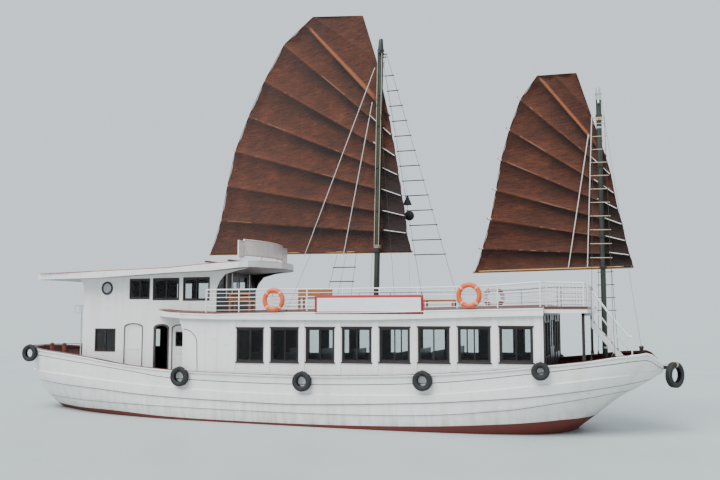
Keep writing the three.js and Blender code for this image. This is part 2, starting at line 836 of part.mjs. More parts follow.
function sideDoor(side, [x0, x1, head], hinge) {
  const inner = HOUSE.half - WALL;
  const foot = doorFoot(x0);
  const outline = arched(x0 + CLEAR, x1 - CLEAR, foot + CLEAR, head - CLEAR);
  return join([handPlate(side, outline, inner, inner + LEAF), ...hingePins(hinge, side * inner, foot, head)]);
}

function houseBack() {
  const half = HOUSE.half - WALL - GAP;
  const [x0, x1] = [HOUSE.aft, HOUSE.aft + WALL];
  return crossPlate(rectangle(-half, half, deckTop(x0) + GAP, roofLow(x0) - GAP), x0, x1);
}

function wheelhouseFloor() {
  const half = HOUSE.half - WALL - GAP;
  return block(HOUSE.aft + WALL + GAP, HOUSE.front, -half, half, HOUSE.floor, HOUSE.floor + WALL);
}

function wheelhouseFront() {
  const half = HOUSE.half - WALL - GAP;
  const x0 = HOUSE.front - WALL;
  const foot = HOUSE.floor + WALL + GAP;
  const lights = [
    [-1330, -830],
    [-340, 770],
    [1010, 1330],
  ].map(([a, b]) => rectangle(a, b, 4180, 4730));
  return crossPlate(rectangle(-half, half, foot, roofLow(x0) - GAP), x0, HOUSE.front, lights);
}

function roofRing(x) {
  const [half, low, top] = [1, 2, 3].map((column) => linear(ROOF, column)(x));
  const rise = (ROOF_CAMBER * half) / 1950;
  const right = [
    [half, low],
    [half, top],
    [half / 2, top + rise * 0.75],
  ];
  return [...right, [0, top + rise], ...mirrored(right)];
}

function roofSurface(x, y) {
  const across = [
    [0, ROOF_CAMBER],
    [975, ROOF_CAMBER * 0.75],
    [1950, 0],
  ];
  return roofTop(x) + linear(across, 1)(Math.abs(y));
}

// Sign board on the roof, bowed forward, with straight wings, on short legs
const SIGN = { x: -2320, bow: 260, half: 1500, depth: 40, foot: 5300, top: 5850 };
const SIGN_WING = { from: 1490, to: 1880, foot: 5230, top: 5790 };
const SIGN_LEGS = { half: 20, top: 5320, places: [-1700, -600, 600, 1700] };

function roofSign() {
  const { x: back, bow, half, depth, foot, top } = SIGN;
  const front = (y) => back + bow * (1 - (y / half) ** 2);
  const ys = Array.from({ length: 7 }, (_, i) => half * (i / 3 - 1));
  const face = ys.map((y) => [front(y), y]);
  const outline = [...face, ...face.map(([x, y]) => [x - depth, y]).reverse()];
  const board = floorPlate(outline.reverse(), foot, top);
  const wing = (y0, y1) => block(back - depth, back, y0, y1, SIGN_WING.foot, SIGN_WING.top);
  const wings = [wing(SIGN_WING.from, SIGN_WING.to), wing(-SIGN_WING.to, -SIGN_WING.from)];
  const { half: leg, places } = SIGN_LEGS;
  const legs = places.map((y) => {
    const x = (Math.abs(y) > half ? back : front(y)) - depth / 2;
    const inner = Math.abs(y) - leg;
    return block(x - leg, x + leg, y - leg, y + leg, roofSurface(x + leg, inner) + GAP, SIGN_LEGS.top);
  });
  return join([board, ...wings, ...legs]);
}

// Rails of the upper deck on posts, with the life rings that hang on them
const RAIL_TOP = [
  // x, z
  [-3170, 4160],
  [2000, 4150],
  [5670, 4170],
  [7200, 4290],
  [8500, 4250],
];
const RAIL_POSTS = [
  // x, distance from the centreline
  ...[-3170, -2000, -840, 330, 1500, 2660, 3830, 5000, 6160, 7340].map((x) => [x, 2430]),
  [7480, 2230],
  [8490, 2230],
];
const RAIL_CORNERS = [-3170, 1500, 5000, 7340, 7480, 8490];
const RAIL_ENDS = { starboard: [-1260], port: [1350, 470, -390] };
const RINGS = { starboard: [[-760, 3820], [5360, 3920]], port: [[5210, 3950]] };

function railSide(name) {
  const side = SIDES[name];
  const posts = [
    ...RAIL_POSTS.map(([x, y]) => [x, side * y]),
    ...RAIL_ENDS[name].map((y) => [8490, y]),
  ].map(([x, y]) => {
    const deck = Math.max(upperTop(x - 20), upperTop(x + 20));
    const foot = (x < EXTENSION.start ? deck : EXTENSION.top) + GAP;
    return { x, y, foot, head: linear(RAIL_TOP, 1)(x) };
  });
  const uprights = posts.map(({ x, y, foot, head }) => rod([x, y, foot], [x, y, head], 20, 4));
  const corners = posts.filter(({ x }) => RAIL_CORNERS.includes(x));
  const bars = [
    [1, 22],
    [0.67, 12],
    [0.33, 12],
  ].map(([level, radius]) =>
    run(
      corners.map(({ x, y, foot, head }) => [x, y, foot + (head - foot) * level]),
      radius,
      4,
    ),
  );
  const rings = RINGS[name].map(([x, z]) => {
    const ring = new THREE.TorusGeometry(305, 70, 6, 16).rotateX(Math.PI / 2);
    return solidFrom(ring.translate(x, side * 2507, z));
  });
  return join([...uprights, ...bars, ...rings]);
}

function banner() {
  return block(620, 4020, -2512, -2500 - GAP, 3390, 3950);
}

// Benches on the upper deck
const BENCHES = {
  // x0, x1, y0, y1, seat, back
  bench_forward: [3400, 4400, -250, 250, 3840, 3840],
  bench_middle: [-490, 700, -1250, -800, 3930, 4200],
  bench_aft: [-2920, -2130, -1400, -1000, 3860, 4060],
};

function bench([x0, x1, y0, y1, seat, back]) {
  const legs = [x0, x1 - 60].flatMap((x) =>
    [y0, y1 - 60].map((y) => {
      const near = y < 0 ? y + 60 : y;
      const foot = Math.max(upperSurface(x, near), upperSurface(x + 60, near)) + GAP;
      return block(x, x + 60, y, y + 60, foot, seat);
    }),
  );
  const top = block(x0, x1, y0, y1, seat - 50, seat);
  const parts = [...legs, top];
  if (back > seat) parts.push(block(x0, x1, y0, y0 + 40, seat - 50, back));
  return join(parts);
}

// Stairs from the foredeck to the upper deck
const STAIRS = { x: 8410, z: 3360, slope: -1.2105, depth: 110, toe: 9768 };
STAIRS.outer = [-1170, -1120];
STAIRS.inner = [-520, -470];
const TREADS = { count: 7, first: 2010, rise: 190, reach: 110, half: 15, housed: 5 };
const STAIR_RAIL = {
  line: [[8640, 4060], [9120, 3370], [9600, 2760], [9700, 2750]],
  posts: [0, 1, 3],
  radius: 20,
  post: 18,
};

function stairs() {
  const { x, z, slope, outer, inner, depth, toe } = STAIRS;
  const line = (at) => z + (at - x) * slope;
  const xAt = (height) => x + (height - z) / slope;
  const start = EXTENSION.front + 3;
  const foot = deckTop(toe) + GAP;
  const outline = [
    [start, line(start) - depth],
    [xAt(foot + depth), foot],
    [xAt(foot - depth), foot],
    [start, line(start) + depth],
  ];
  const stringers = [outer, inner].map(([a, b]) => sidePlate(outline, a, b));
  const treads = Array.from({ length: TREADS.count }, (_, i) => {
    const { first, rise, reach, half, housed } = TREADS;
    const height = first + rise * i;
    const back = Math.max(xAt(height) - reach, start);
    const sides = [outer[1] - housed, inner[0] + housed];
    return block(back, xAt(height) + reach, ...sides, height - half, height + half);
  });
  const rails = [outer, inner].flatMap(([a, b]) => {
    const y = (a + b) / 2;
    const posts = STAIR_RAIL.posts.map((i) => {
      const [at, head] = STAIR_RAIL.line[i];
      return rod([at, y, Math.max(line(at), foot + STAIR_RAIL.post)], [at, y, head], STAIR_RAIL.post, 4);
    });
    return [...posts, run(STAIR_RAIL.line.map(([at, height]) => [at, y, height]), STAIR_RAIL.radius, 4)];
  });
  return join([...stringers, ...treads, ...rails]);
}

// Shroud ladders and stays
const ROPE = 13;
const RUNG = 9;
const deckEdge = (x) => upperTop(x);

function footBlock(x, y, surface) {
  const foot = Math.max(surface(x - 25), surface(x + 25)) + GAP;
  return block(x - 25, x + 25, y - 25, y + 25, foot, foot + 40);
}

const ARM = { radius: 25, bar: 20, tail: 20 }; // what carries a ladder's head
const FOOT_RISE = 20; // rope ends inside its foot block

// Two ropes from the ends of a cross bar at the masthead to two feet, with rungs between them
function ladder({ mast, height, arm, spread, rungs, feet }, side, surface) {
  const x = mastX(mast, height);
  const heads = [-spread, spread].map((reach) => [x + reach, side * arm, height]);
  const ends = feet.map(([at, y]) => [at, side * y, surface(at) + FOOT_RISE]);
  const point = (i, z) => {
    const t = (height - z) / (height - ends[i][2]);
    return heads[i].map((value, k) => value + (ends[i][k] - value) * t);
  };
  const [first, step, lowest] = rungs;
  const steps = [];
  for (let z = first; z > lowest; z -= step) steps.push(rod(point(0, z), point(1, z), RUNG, 4));
  const reach = spread + ARM.tail;
  return join([
    band(mast, height),
    rod([x, side * (mast.radius + 10), height], [x, side * (arm + ARM.tail), height], ARM.radius, 4),
    rod([x - reach, side * arm, height], [x + reach, side * arm, height], ARM.bar, 4),
    ...ends.map((end, i) => rod(heads[i], end, ROPE, 4)),
    ...steps,
    ...feet.map(([at, y]) => footBlock(at, side * y, surface)),
  ]);
}

// Height and reach of the arm, half length of its bar; highest rung, their step and a height
// under the lowest; feet as x and distance from the centreline
const MAIN_LADDERS = {
  main_ladder_forward: {
    mast: MAIN_MAST,
    height: 12230,
    arm: 400,
    spread: 80,
    rungs: [11520, 505, 5400],
    feet: [[2770, 2390], [4080, 2390]],
  },
  main_ladder_aft: {
    mast: MAIN_MAST,
    height: 12110,
    arm: 330,
    spread: 80,
    rungs: [11135, 505, 4500],
    feet: [[-60, 2390], [-1080, 2390]],
  },
};
const FORE_LADDER = { mast: FORE_MAST, arm: 280, spread: 170, feet: [[8640, 1970], [9250, 1720]] };
const FORE_LADDERS = {
  starboard: { ...FORE_LADDER, height: 9300, rungs: [9110, 410, 4900] },
  port: { ...FORE_LADDER, height: 9420, spread: 10, rungs: [8720, 400, 3300] },
};

const SHROUDS = { height: 10700, clear: 20, y: -2390, feet: [-380, 1220, 2350, 3150] };

function mainShrouds() {
  const { height, clear, y, feet } = SHROUDS;
  const head = [mastX(MAIN_MAST, height), -MAIN_MAST.radius - clear, height];
  return join([
    band(MAIN_MAST, height),
    ...feet.map((x) => rod(head, [x, y, deckEdge(x) + FOOT_RISE], ROPE, 4)),
    ...feet.map((x) => footBlock(x, y, deckEdge)),
  ]);
}

// Forestay from the masthead to a short post on the foredeck
const FORESTAY = { height: 10100, head: 60, x: 9950, y: 380, end: 2400, half: 60, top: 2450 };

function forestay() {
  const { height, head, x, y, end, half, top } = FORESTAY;
  const foot = deckTop(x + half) + GAP;
  return join([
    band(FORE_MAST, height),
    rod([FORE_MAST.x + head, FORE_MAST.radius, height], [x, y, end], ROPE, 4),
    block(x - half, x + half, y - half, y + half, foot, top),
  ]);
}

// Sails: a cloth with its spars on the port face, in a frame turned out to port
const CLOTH = 12;
const SAILS = {
  main: {
    mast: MAIN_MAST,
    pivot: 1860,
    angle: 24,
    offset: 150,
    outline: [
      [-9517, 5817], [-9016, 6450], [-8813, 7172], [-8428, 8579], [-7941, 9948], [-7116, 11217],
      [-6156, 12479], [-5001, 13673], [-3405, 14341], [-888, 13734], [-267, 12050], [392, 9628],
      [1162, 5449], [1245, 5384],
    ],
    battens: [
      [[-5001, 13673], [430, 9317]],
      [[-6156, 12479], [593, 8588]],
      [[-7116, 11217], [711, 7936]],
      [[-7941, 9948], [849, 7233]],
      [[-8428, 8579], [993, 6561]],
      [[-8813, 7172], [1049, 5993]],
    ],
    yard: [[-3822, 14166], [292, 9996]],
    boom: [[-9600, 5820], [1245, 5384]],
    parrels: [0, 2, 4, 6],
  },
  fore: {
    mast: FORE_MAST,
    pivot: 8930,
    angle: 20,
    offset: 124,
    outline: [
      [-4533, 4794], [-4226, 5574], [-3900, 6540], [-3675, 7511], [-3472, 8501], [-3144, 9472],
      [-2716, 10428], [-2096, 11101], [-760, 10940], [-363, 9686], [-10, 8724], [156, 8022],
      [864, 4777],
    ],
    battens: [
      [[-2716, 10428], [263, 7607]],
      [[-3144, 9472], [358, 7024]],
      [[-3472, 8501], [439, 6544]],
      [[-3675, 7511], [575, 6063]],
      [[-3900, 6540], [657, 5564]],
      [[-4226, 5574], [764, 5133]],
    ],
    yard: [[-2096, 11101], [115, 8174]],
    boom: [[-4620, 4795], [864, 4777]],
    parrels: [0, 2, 4, 6],
  },
};
const COLLAR = 30; // half the height of a tie round a mast
const SPAR = { batten: 28, yard: 50, boom: 45, rope: 14, overhang: 150 };

const zOnLine = ([[x0, z0], [x1, z1]], x) => z0 + ((z1 - z0) * (x - x0)) / (x1 - x0);

// Where a sail is tied to its mast, in the sail's frame: on some battens and on the boom
function parrelPlaces({ mast, pivot, angle, battens, boom, parrels }) {
  const lines = [...battens, boom];
  const turn = THREE.MathUtils.degToRad(angle);
  return parrels.map((i) => {
    const lead = (x) => mastX(mast, zOnLine(lines[i], x)) - pivot;
    const near = lead(0) * Math.cos(turn);
    const x = lead(near) * Math.cos(turn);
    return { x, y: lead(near) * Math.sin(turn), z: zOnLine(lines[i], x) };
  });
}

function cloth(sail) {
  const holes = parrelPlaces(sail).map(({ x, z }) => rectangle(x - 32, x + 32, z - 32, z + 32));
  return sidePlate(sail.outline, sail.offset, sail.offset + CLOTH, holes);
}

function spars(sail) {
  const back = sail.offset + CLOTH + GAP;
  const bar = ([[x0, z0], [x1, z1]], radius) => rod([x0, back + radius, z0], [x1, back + radius, z1], radius);
  const battens = sail.battens.map(([[x0, z0], end]) => {
    const length = Math.hypot(end[0] - x0, end[1] - z0);
    const t = SPAR.overhang / length;
    return bar([[x0 - (end[0] - x0) * t, z0 - (end[1] - z0) * t], end], SPAR.batten);
  });
  const border = [...sail.outline, sail.outline[0]].map(([x, z]) => [x, back + SPAR.rope, z]);
  const ties = parrelPlaces(sail).flatMap(({ x, y, z }) => {
    const { radius, rake } = sail.mast;
    const close = radius / Math.cos(Math.PI / 12) + GAP + COLLAR * rake; // round the mast's corners
    const turn = THREE.MathUtils.degToRad(sail.angle) + Math.PI / 12; // flats against those corners
    const ring = (reach, half) => {
      const rows = [z - half, z + half].map((height) => [x, y, height, reach]);
      return spindle(rows, 12, turn);
    };
    const collar = ring(close + 24, COLLAR).subtract(ring(close, 2 * COLLAR));
    return [collar, block(x - 20, x + 20, y + close + 10, back + SPAR.batten, z - 20, z + 20)];
  });
  return join([
    ...battens,
    bar(sail.yard, SPAR.yard),
    bar(sail.boom, SPAR.boom),
    run(border, SPAR.rope, 4),
    ...ties,
  ]);
}

function addSail(name, sail) {
  const frame = new THREE.Group();
  frame.position.x = sail.pivot;
  frame.rotation.z = -THREE.MathUtils.degToRad(sail.angle);
  place(`${name}_sail`, cloth(sail), 'sail', 0.85, 0, frame);
  place(`${name}_sail_spars`, spars(sail), 'spar', 0.7, 0, frame);
  boat.add(frame);
}

// The whole boat
place('hull', hull(), 'white', 0.5);
for (const [name, ends] of Object.entries(DECK_PARTS)) place(name, deckPart(ends), 'redBrown', 0.7);
place('main_engine', mainEngine(), 'iron', 0.5, 0.6);
place('propeller', propeller(), 'bronze', 0.35, 0.9);
place('rudder', rudder(), 'redBrown', 0.6);
for (const [name, side] of Object.entries(SIDES)) {
  place(`bulwark_${name}`, loft(STATIONS, (x) => handed(side, bulwarkRing(x))), 'white', 0.5);
  place(`cap_rail_${name}`, capRail(CAP_MIDDLE, side), 'brown', 0.6);
  place(`tyres_${name}`, sideTyres(side), 'rubber', 0.9);
  place(`saloon_side_${name}`, saloonSide(side), 'white', 0.5);
  const panes = windowRow(side, saloonWindows, SALOON.half, WALL);
  place(`saloon_windows_${name}`, panes, 'brown', 0.4);
  place(`saloon_door_${name}`, saloonDoor(side), 'brown', 0.5);
  place(`house_side_${name}`, houseSide(side), 'white', 0.5);
  const { aft, forward } = SIDE_DOORS;
  place(`side_door_aft_${name}`, sideDoor(side, aft, aft[0] + CLEAR), 'brown', 0.5);
  place(`side_door_forward_${name}`, sideDoor(side, forward, forward[1] - CLEAR), 'brown', 0.5);
  place(`rail_${name}`, railSide(name), 'white', 0.4);
  place(`fore_ladder_${name}`, ladder(FORE_LADDERS[name], side, capTop), 'rope', 0.8);
}
place('cap_rail_stern', capEnd(CAP_STERN), 'brown', 0.6);
place('cap_rail_bow', capEnd(CAP_BOW), 'brown', 0.6);
place('tyres_stern', sternTyres(), 'rubber', 0.9);
place('tyre_bow', bowTyre(), 'rubber', 0.9);
place('stern_bitts', sternBitts(), 'brown', 0.7);
place('windlass', windlass(), 'brown', 0.7);
place('saloon_front', saloonFront(), 'white', 0.5);
place('saloon_bulkhead', saloonBulkhead(), 'white', 0.5);
place('upper_deck', upperDeck(), 'white', 0.5);
place('foredeck_frame', foredeckFrame(), 'brown', 0.6);
place('house_back', houseBack(), 'white', 0.5);
place('wheelhouse_floor', wheelhouseFloor(), 'redBrown', 0.7);
place('wheelhouse_front', wheelhouseFront(), 'white', 0.5);
place('wheelhouse_roof', loft(xsOf(ROOF), roofRing), 'roof', 0.6);
place('roof_sign', roofSign(), 'white', 0.5);
place('banner', banner(), 'white', 0.7);
for (const [name, sizes] of Object.entries(BENCHES)) place(name, bench(sizes), 'brown', 0.7);
place('stairs', stairs(), 'white', 0.5);
place('main_mast', mastSolid(MAIN_MAST), 'mast', 0.6);
place('fore_mast', mastSolid(FORE_MAST), 'mast', 0.6);
for (const [name, sizes] of Object.entries(MAIN_LADDERS)) {
  place(name, ladder(sizes, SIDES.port, deckEdge), 'mast', 0.8);
}
place('main_shrouds', mainShrouds(), 'rope', 0.8);
place('forestay', forestay(), 'rope', 0.8);
for (const [name, sail] of Object.entries(SAILS)) addSail(name, sail);

export default boat;
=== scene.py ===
# Dresses the frame of a two-masted wooden day boat with planks, sailcloth, glass, ropes and fenders.
# Metres: +X to the bow, +Y to port, +Z up, Z = 0 at the waterline.

import math

import bmesh
import bpy
from bpy.props import FloatProperty, FloatVectorProperty, IntProperty
from mathutils import Matrix, Vector, noise


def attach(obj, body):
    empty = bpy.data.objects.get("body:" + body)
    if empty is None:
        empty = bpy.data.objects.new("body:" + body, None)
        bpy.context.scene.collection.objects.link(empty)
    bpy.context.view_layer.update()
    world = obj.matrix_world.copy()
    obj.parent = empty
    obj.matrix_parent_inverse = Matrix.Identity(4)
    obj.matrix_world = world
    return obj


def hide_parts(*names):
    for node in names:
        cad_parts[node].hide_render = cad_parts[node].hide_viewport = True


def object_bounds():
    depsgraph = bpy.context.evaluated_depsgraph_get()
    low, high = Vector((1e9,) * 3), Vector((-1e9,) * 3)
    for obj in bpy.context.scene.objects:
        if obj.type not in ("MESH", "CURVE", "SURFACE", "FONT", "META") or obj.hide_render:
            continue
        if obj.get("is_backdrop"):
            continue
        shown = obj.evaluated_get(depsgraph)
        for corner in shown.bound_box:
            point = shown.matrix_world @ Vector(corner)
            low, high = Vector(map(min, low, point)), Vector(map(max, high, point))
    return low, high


bl_info = {
    "name": "Junk-rigged day boat",
    "version": (1, 0, 0),
    "blender": (4, 5, 0),
    "location": "View3D > Sidebar > Junk Boat",
    "description": "Dresses the frame of a wooden day boat with its planks, sails, ropes and fittings",
    "category": "Add Mesh",
}

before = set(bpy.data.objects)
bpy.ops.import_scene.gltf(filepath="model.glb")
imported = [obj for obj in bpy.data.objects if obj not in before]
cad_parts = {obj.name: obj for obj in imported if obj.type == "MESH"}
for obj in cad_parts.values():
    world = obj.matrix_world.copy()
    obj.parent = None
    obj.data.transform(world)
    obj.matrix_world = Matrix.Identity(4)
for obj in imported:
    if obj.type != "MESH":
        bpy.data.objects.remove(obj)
CAD_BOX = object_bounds()

SIDES = {"starboard": -1, "port": 1}
ROOT = "boat"
X_AXIS, Y_AXIS, Z_AXIS = (1, 0, 0), (0, 1, 0), (0, 0, 1)
# What a piece keeps from the one it stands on, and a trim from its wall
GAP = 0.0003
OFF_WALL = 0.0005

# Camera: where it stands, its heading to port of +Y, its upward tilt and its focal length in pixels
CAMERA = {"place": (9.954, -25.04, 3.45), "heading": 19.27, "tilt": 5.15, "focal": 799, "width": 720}

# Hull: half breadth and height of the sheer, keel line, fullness, roundness, main deck
HULL = [
    # x, half, sheer, keel, fullness, roundness, deck
    (-11.6, 0.62, 2.2, 1.45, 2.0, 1.6, 1.56),
    (-11.3, 1.0, 2.18, 0.74, 2.0, 1.5, 1.545),
    (-10.9, 1.3, 2.15, 0.3, 2.1, 1.5, 1.52),
    (-10.3, 1.6, 2.105, -0.1, 2.2, 1.5, 1.49),
    (-9.5, 1.88, 2.06, -0.32, 2.5, 1.5, 1.445),
    (-8.0, 2.18, 1.93, -0.57, 3.2, 1.7, 1.36),
    (-6.0, 2.38, 1.69, -0.74, 4.2, 1.9, 1.255),
    (-4.0, 2.48, 1.575, -0.83, 5.0, 2.0, 1.15),
    (-2.0, 2.52, 1.54, -0.87, 5.0, 2.0, 1.12),
    (0.0, 2.55, 1.53, -0.88, 5.0, 2.0, 1.12),
    (2.0, 2.55, 1.575, -0.87, 5.0, 2.0, 1.14),
    (4.0, 2.52, 1.665, -0.85, 4.6, 1.9, 1.2),
    (6.0, 2.47, 1.82, -0.74, 3.6, 1.8, 1.375),
    (7.4, 2.38, 1.975, -0.45, 2.8, 1.75, 1.535),
    (8.5, 2.12, 2.095, 0.33, 2.4, 1.75, 1.69),
    (9.3, 1.8, 2.22, 0.96, 2.3, 1.75, 1.785),
    (9.9, 1.38, 2.275, 1.31, 2.2, 1.7, 1.835),
    (10.12, 1.17, 2.3, 1.45, 2.0, 1.6, 1.85),
    (10.3, 0.95, 2.19, 1.57, 1.8, 1.5, 1.862),
    (10.52, 0.56, 1.9, 1.72, 1.6, 1.4, 1.862),
]
STATION_COUNT = 150
CLOSED_ENDS = (-11.5, 10.4)
DECK_DEPTH = 0.0603
BULWARK = 0.1
CAP = {"height": 0.06, "outside": 0.03, "inside": 0.22, "brown_to": 9.6}
KEEL_OUTLINE = [
    (-10.05, -1.2), (6.15, -1.2), (6.7, -1.05), (7.35, -0.56), (7.35, -0.3), (-8.75, -0.3),
    (-8.75, -1.14), (-10.05, -1.14),
]

# Lines along the topsides, by x and z
WALE_TOP = [
    (-11.3, 1.4), (-10.47, 1.36), (-9.14, 1.31), (-7.42, 1.21), (-5.97, 1.12), (-4.32, 1.04),
    (-2.2, 0.98), (0.12, 0.98), (3.92, 1.09), (5.64, 1.24), (6.92, 1.4), (7.8, 1.5), (8.82, 1.63),
    (9.9, 1.735), (10.52, 1.79),
]
WALE_FOOT = [
    (-11.3, 1.05), (-10.47, 1.02), (-9.14, 0.96), (-7.42, 0.89), (-5.97, 0.8), (-4.32, 0.73),
    (-2.2, 0.69), (0.12, 0.68), (3.92, 0.85), (5.64, 0.98), (6.92, 1.1), (7.8, 1.21), (8.82, 1.34),
    (9.9, 1.49), (10.52, 1.58),
]
WALE_PROUD = 0.05
UPPER_SEAM = [
    (-11.6, 1.94), (-10.57, 1.91), (-9.21, 1.82), (-7.47, 1.66), (-6.01, 1.51), (-4.36, 1.33),
    (0.1, 1.27), (4.32, 1.43), (7.27, 1.77), (9.09, 2.0), (10.08, 2.1), (10.3, 1.99), (10.52, 1.74),
]
STRAKE_LAP = [
    (-11.6, 0.5), (-9.68, 0.46), (-7.59, 0.45), (0.0, 0.42), (3.85, 0.5), (6.39, 0.73),
    (7.77, 0.96), (9.3, 1.2),
]
RED_LINE = [
    (-11.0, 0.2), (-9.2, 0.14), (-7.0, 0.17), (-4.6, 0.09), (0.0, 0.08), (3.8, 0.17), (6.3, 0.32),
    (7.8, 0.45),
]

FENDERS = [
    # x, z, radius
    (-3.99, 1.4, 0.31),
    (0.28, 1.37, 0.3),
    (4.01, 1.49, 0.29),
    (7.32, 1.83, 0.25),
]
TYRE = {"width": 0.18, "wall": 0.15}
QUARTER_TYRE = {"x": -10.84, "z": 1.98, "radius": 0.3, "seat": 0.082, "around": 0.03}
LINE = {"radius": 0.012, "below": 0.07}
BOW_TYRE = {
    "centre": (10.84, 0, 1.64), "radius": 0.37, "width": 0.2, "turn": 35, "anchor": (10.5, 0.0, 1.91),
    "beam": (10.5203, 10.84, -0.04, 0.04, 1.8, 1.9),
}

WALL = 0.06
SALOON = {"front": 7.4, "half": 2.395}
WINDOWS = {
    "first": -2.08, "pitch": 1.18, "count": 8, "width": 0.94,
    # sill and head, each as its height at an x, and its slope
    "levels": ((1.885, -1.5, 0.0175), (2.955, -2, 0.0105)),
}
STRIPS = (-3.2, -2.8)
ARC = {"x": -4.0, "z": 2.4, "radius": 0.5, "foot": -3.48}
SEATS = {
    "count": 7, "first": -2.9, "mast": 1.8, "clear": 0.45, "y": (0.75, 2.15), "depth": 0.46, "front_leg": 0.4,
    "leg": 0.06, "seat": (0.4, 0.45), "back": (0.5, 1.05),
}
HOUSE = {"front": -3.36, "half": 1.46}
FRONT_DOOR = {"half": 0.7, "foot": 1.655, "head": 3.31}
FRONT = {
    "lights": [(0.82, 1.4), (1.5, 2.08)], "light_z": (2.15, 3.2), "beam": (-2.3, 2.3, 3.36, 3.4),
    "posts": (-2.34, -1.45, -0.76, 0.76, 1.45, 2.34), "post_z": (2.0, 3.36),
}
ARCH = {"rise": 0.13, "bends": 16}
SIDE_DOORS = {
    # x from, x to, head, x of the hinge
    "aft": (-6.91, -6.21, 3.04, -6.905),
    "open": (-5.72, -5.17, 3.02, None),
    "forward": (-5.01, -4.41, 3.0, -4.415),
}
HOUSE_WINDOWS = [
    # x from, x to, sill, head
    (-8.14, -7.29, 2.08, 2.88),
    (-6.76, -5.94, 3.89, 4.6),
    (-5.82, -4.78, 3.85, 4.61),
    (-4.63, -3.61, 3.83, 4.62),
]
WHEELHOUSE = {
    "lights": [(-1.33, -0.83), (-0.34, 0.77), (1.01, 1.33)], "light_z": (4.18, 4.73), "double": 0.6,
    "posts": (-0.8, -0.4, 0.9), "post_z": (3.9, 4.78),
}
DOOR_LIGHT = (-4.87, -4.59, 2.33, 2.76)

UPPER = [
    # x, top of the upper deck's edge
    (-5.52, 3.55), (-5.35, 3.53), (-5.12, 3.505), (-4.8, 3.465), (-4.5, 3.44), (-4.1, 3.425),
    (-3.6, 3.405), (-2.8, 3.39), (0.13, 3.45), (2.07, 3.46), (4.0, 3.495), (5.67, 3.53), (7.42, 3.56),
]
EXTENSION = {"start": 7.405, "front": 8.58, "half": 2.3, "bottom": 3.42, "top": 3.6}
ROOF_TOP = [
    (-10.4, 4.79), (-7.8, 4.855), (-4.9, 4.925), (-4.0, 4.995), (-3.3, 5.04), (-2.3, 5.086),
    (-2.02, 5.1), (-1.43, 5.095),
]
ROOF_CAMBER = [(0.0, 0.1), (0.975, 0.075), (1.95, 0.0)]

RAIL_TOP = [(-3.17, 4.16), (2.0, 4.15), (5.67, 4.17), (7.2, 4.29), (8.5, 4.25)]
RAIL_POSTS = [(x, 2.43) for x in (-3.17, -2.0, -0.84, 0.33, 1.5, 2.66, 3.83, 5.0, 6.16, 7.34)]
RAIL_POSTS += [(7.48, 2.23), (8.49, 2.23)]
RAIL_ENDS = {"starboard": [-1.26], "port": [1.35, 0.47, -0.39]}
RAIL_BARS = [(1, 0.022), (0.84, 0.009), (0.67, 0.012), (0.5, 0.008), (0.33, 0.012), (0.14, 0.008)]
RINGS = {"starboard": [(-0.76, 3.82), (5.36, 3.92)], "port": [(5.21, 3.95)]}
BANNER = {"x": (0.62, 4.02), "y": -2.506, "z": (3.39, 3.95), "border": 0.075}
BENCHES = {
    # x from, x to, y from, y to, seat, back
    "bench_forward": (3.4, 4.4, -0.25, 0.25, 3.84, 3.84),
    "bench_middle": (-0.49, 0.7, -1.25, -0.8, 3.93, 4.2),
    "bench_aft": (-2.92, -2.13, -1.4, -1.0, 3.86, 4.06),
}
STAIRS = {"x": 8.41, "z": 3.36, "slope": -1.2105, "y": ((-1.17, -1.12), (-0.52, -0.47)), "depth": 0.11}
STAIRS.update(start=8.583, foot=1.8265)

MASTS = {
    # line of the mast: x at a height, rake; radius, foot, height of the lowest collar, top
    "main_mast": {
        "x": 1.8, "at": 5.3, "rake": 0.0205, "radius": 0.095, "foot": 1.145, "collar": 3.75, "top": 12.63,
    },
    "fore_mast": {
        "x": 8.93, "at": 0.0, "rake": 0.0, "radius": 0.078, "foot": 1.76, "collar": 2.4, "top": 10.3,
    },
}
LADDERS = {
    # mast, side, height, reach of the arm, half length of its bar, rungs as highest, step and
    # a height under the lowest, feet as x and distance from the centreline
    "main_ladder_forward": (
        "main_mast", 1, 12.23, 0.4, 0.08, (11.52, 0.505, 5.4), ((2.77, 2.39), (4.08, 2.39)),
    ),
    "main_ladder_aft": (
        "main_mast", 1, 12.11, 0.33, 0.08, (11.135, 0.505, 4.5), ((-0.06, 2.39), (-1.08, 2.39)),
    ),
    "fore_ladder_starboard": (
        "fore_mast", -1, 9.3, 0.28, 0.17, (9.11, 0.41, 4.9), ((8.64, 1.97), (9.25, 1.72)),
    ),
    "fore_ladder_port": (
        "fore_mast", 1, 9.42, 0.28, 0.01, (8.72, 0.4, 3.3), ((8.64, 1.97), (9.25, 1.72)),
    ),
}
SHROUDS = {"height": 10.7, "feet": (-0.38, 1.22, 2.35, 3.15), "half": 2.39, "radius": 0.0045}
FORESTAY = {"height": 10.1, "post": (9.95, 0.38), "head": 2.38, "end": 2.4}
HALYARDS = {"z": (5.6, 12.1), "shift": 0.075, "turns": (5.56, 5.6, 5.64)}
DAY_SHAPES = {
    "x": 2.73, "y": 0.42, "cone": 7.16, "ball": 6.64, "ball_radius": 0.165,
    "cord_head": (1.97, 0.09, 12.0), "cord_foot": (2.6, 1.2, 3.62),
}

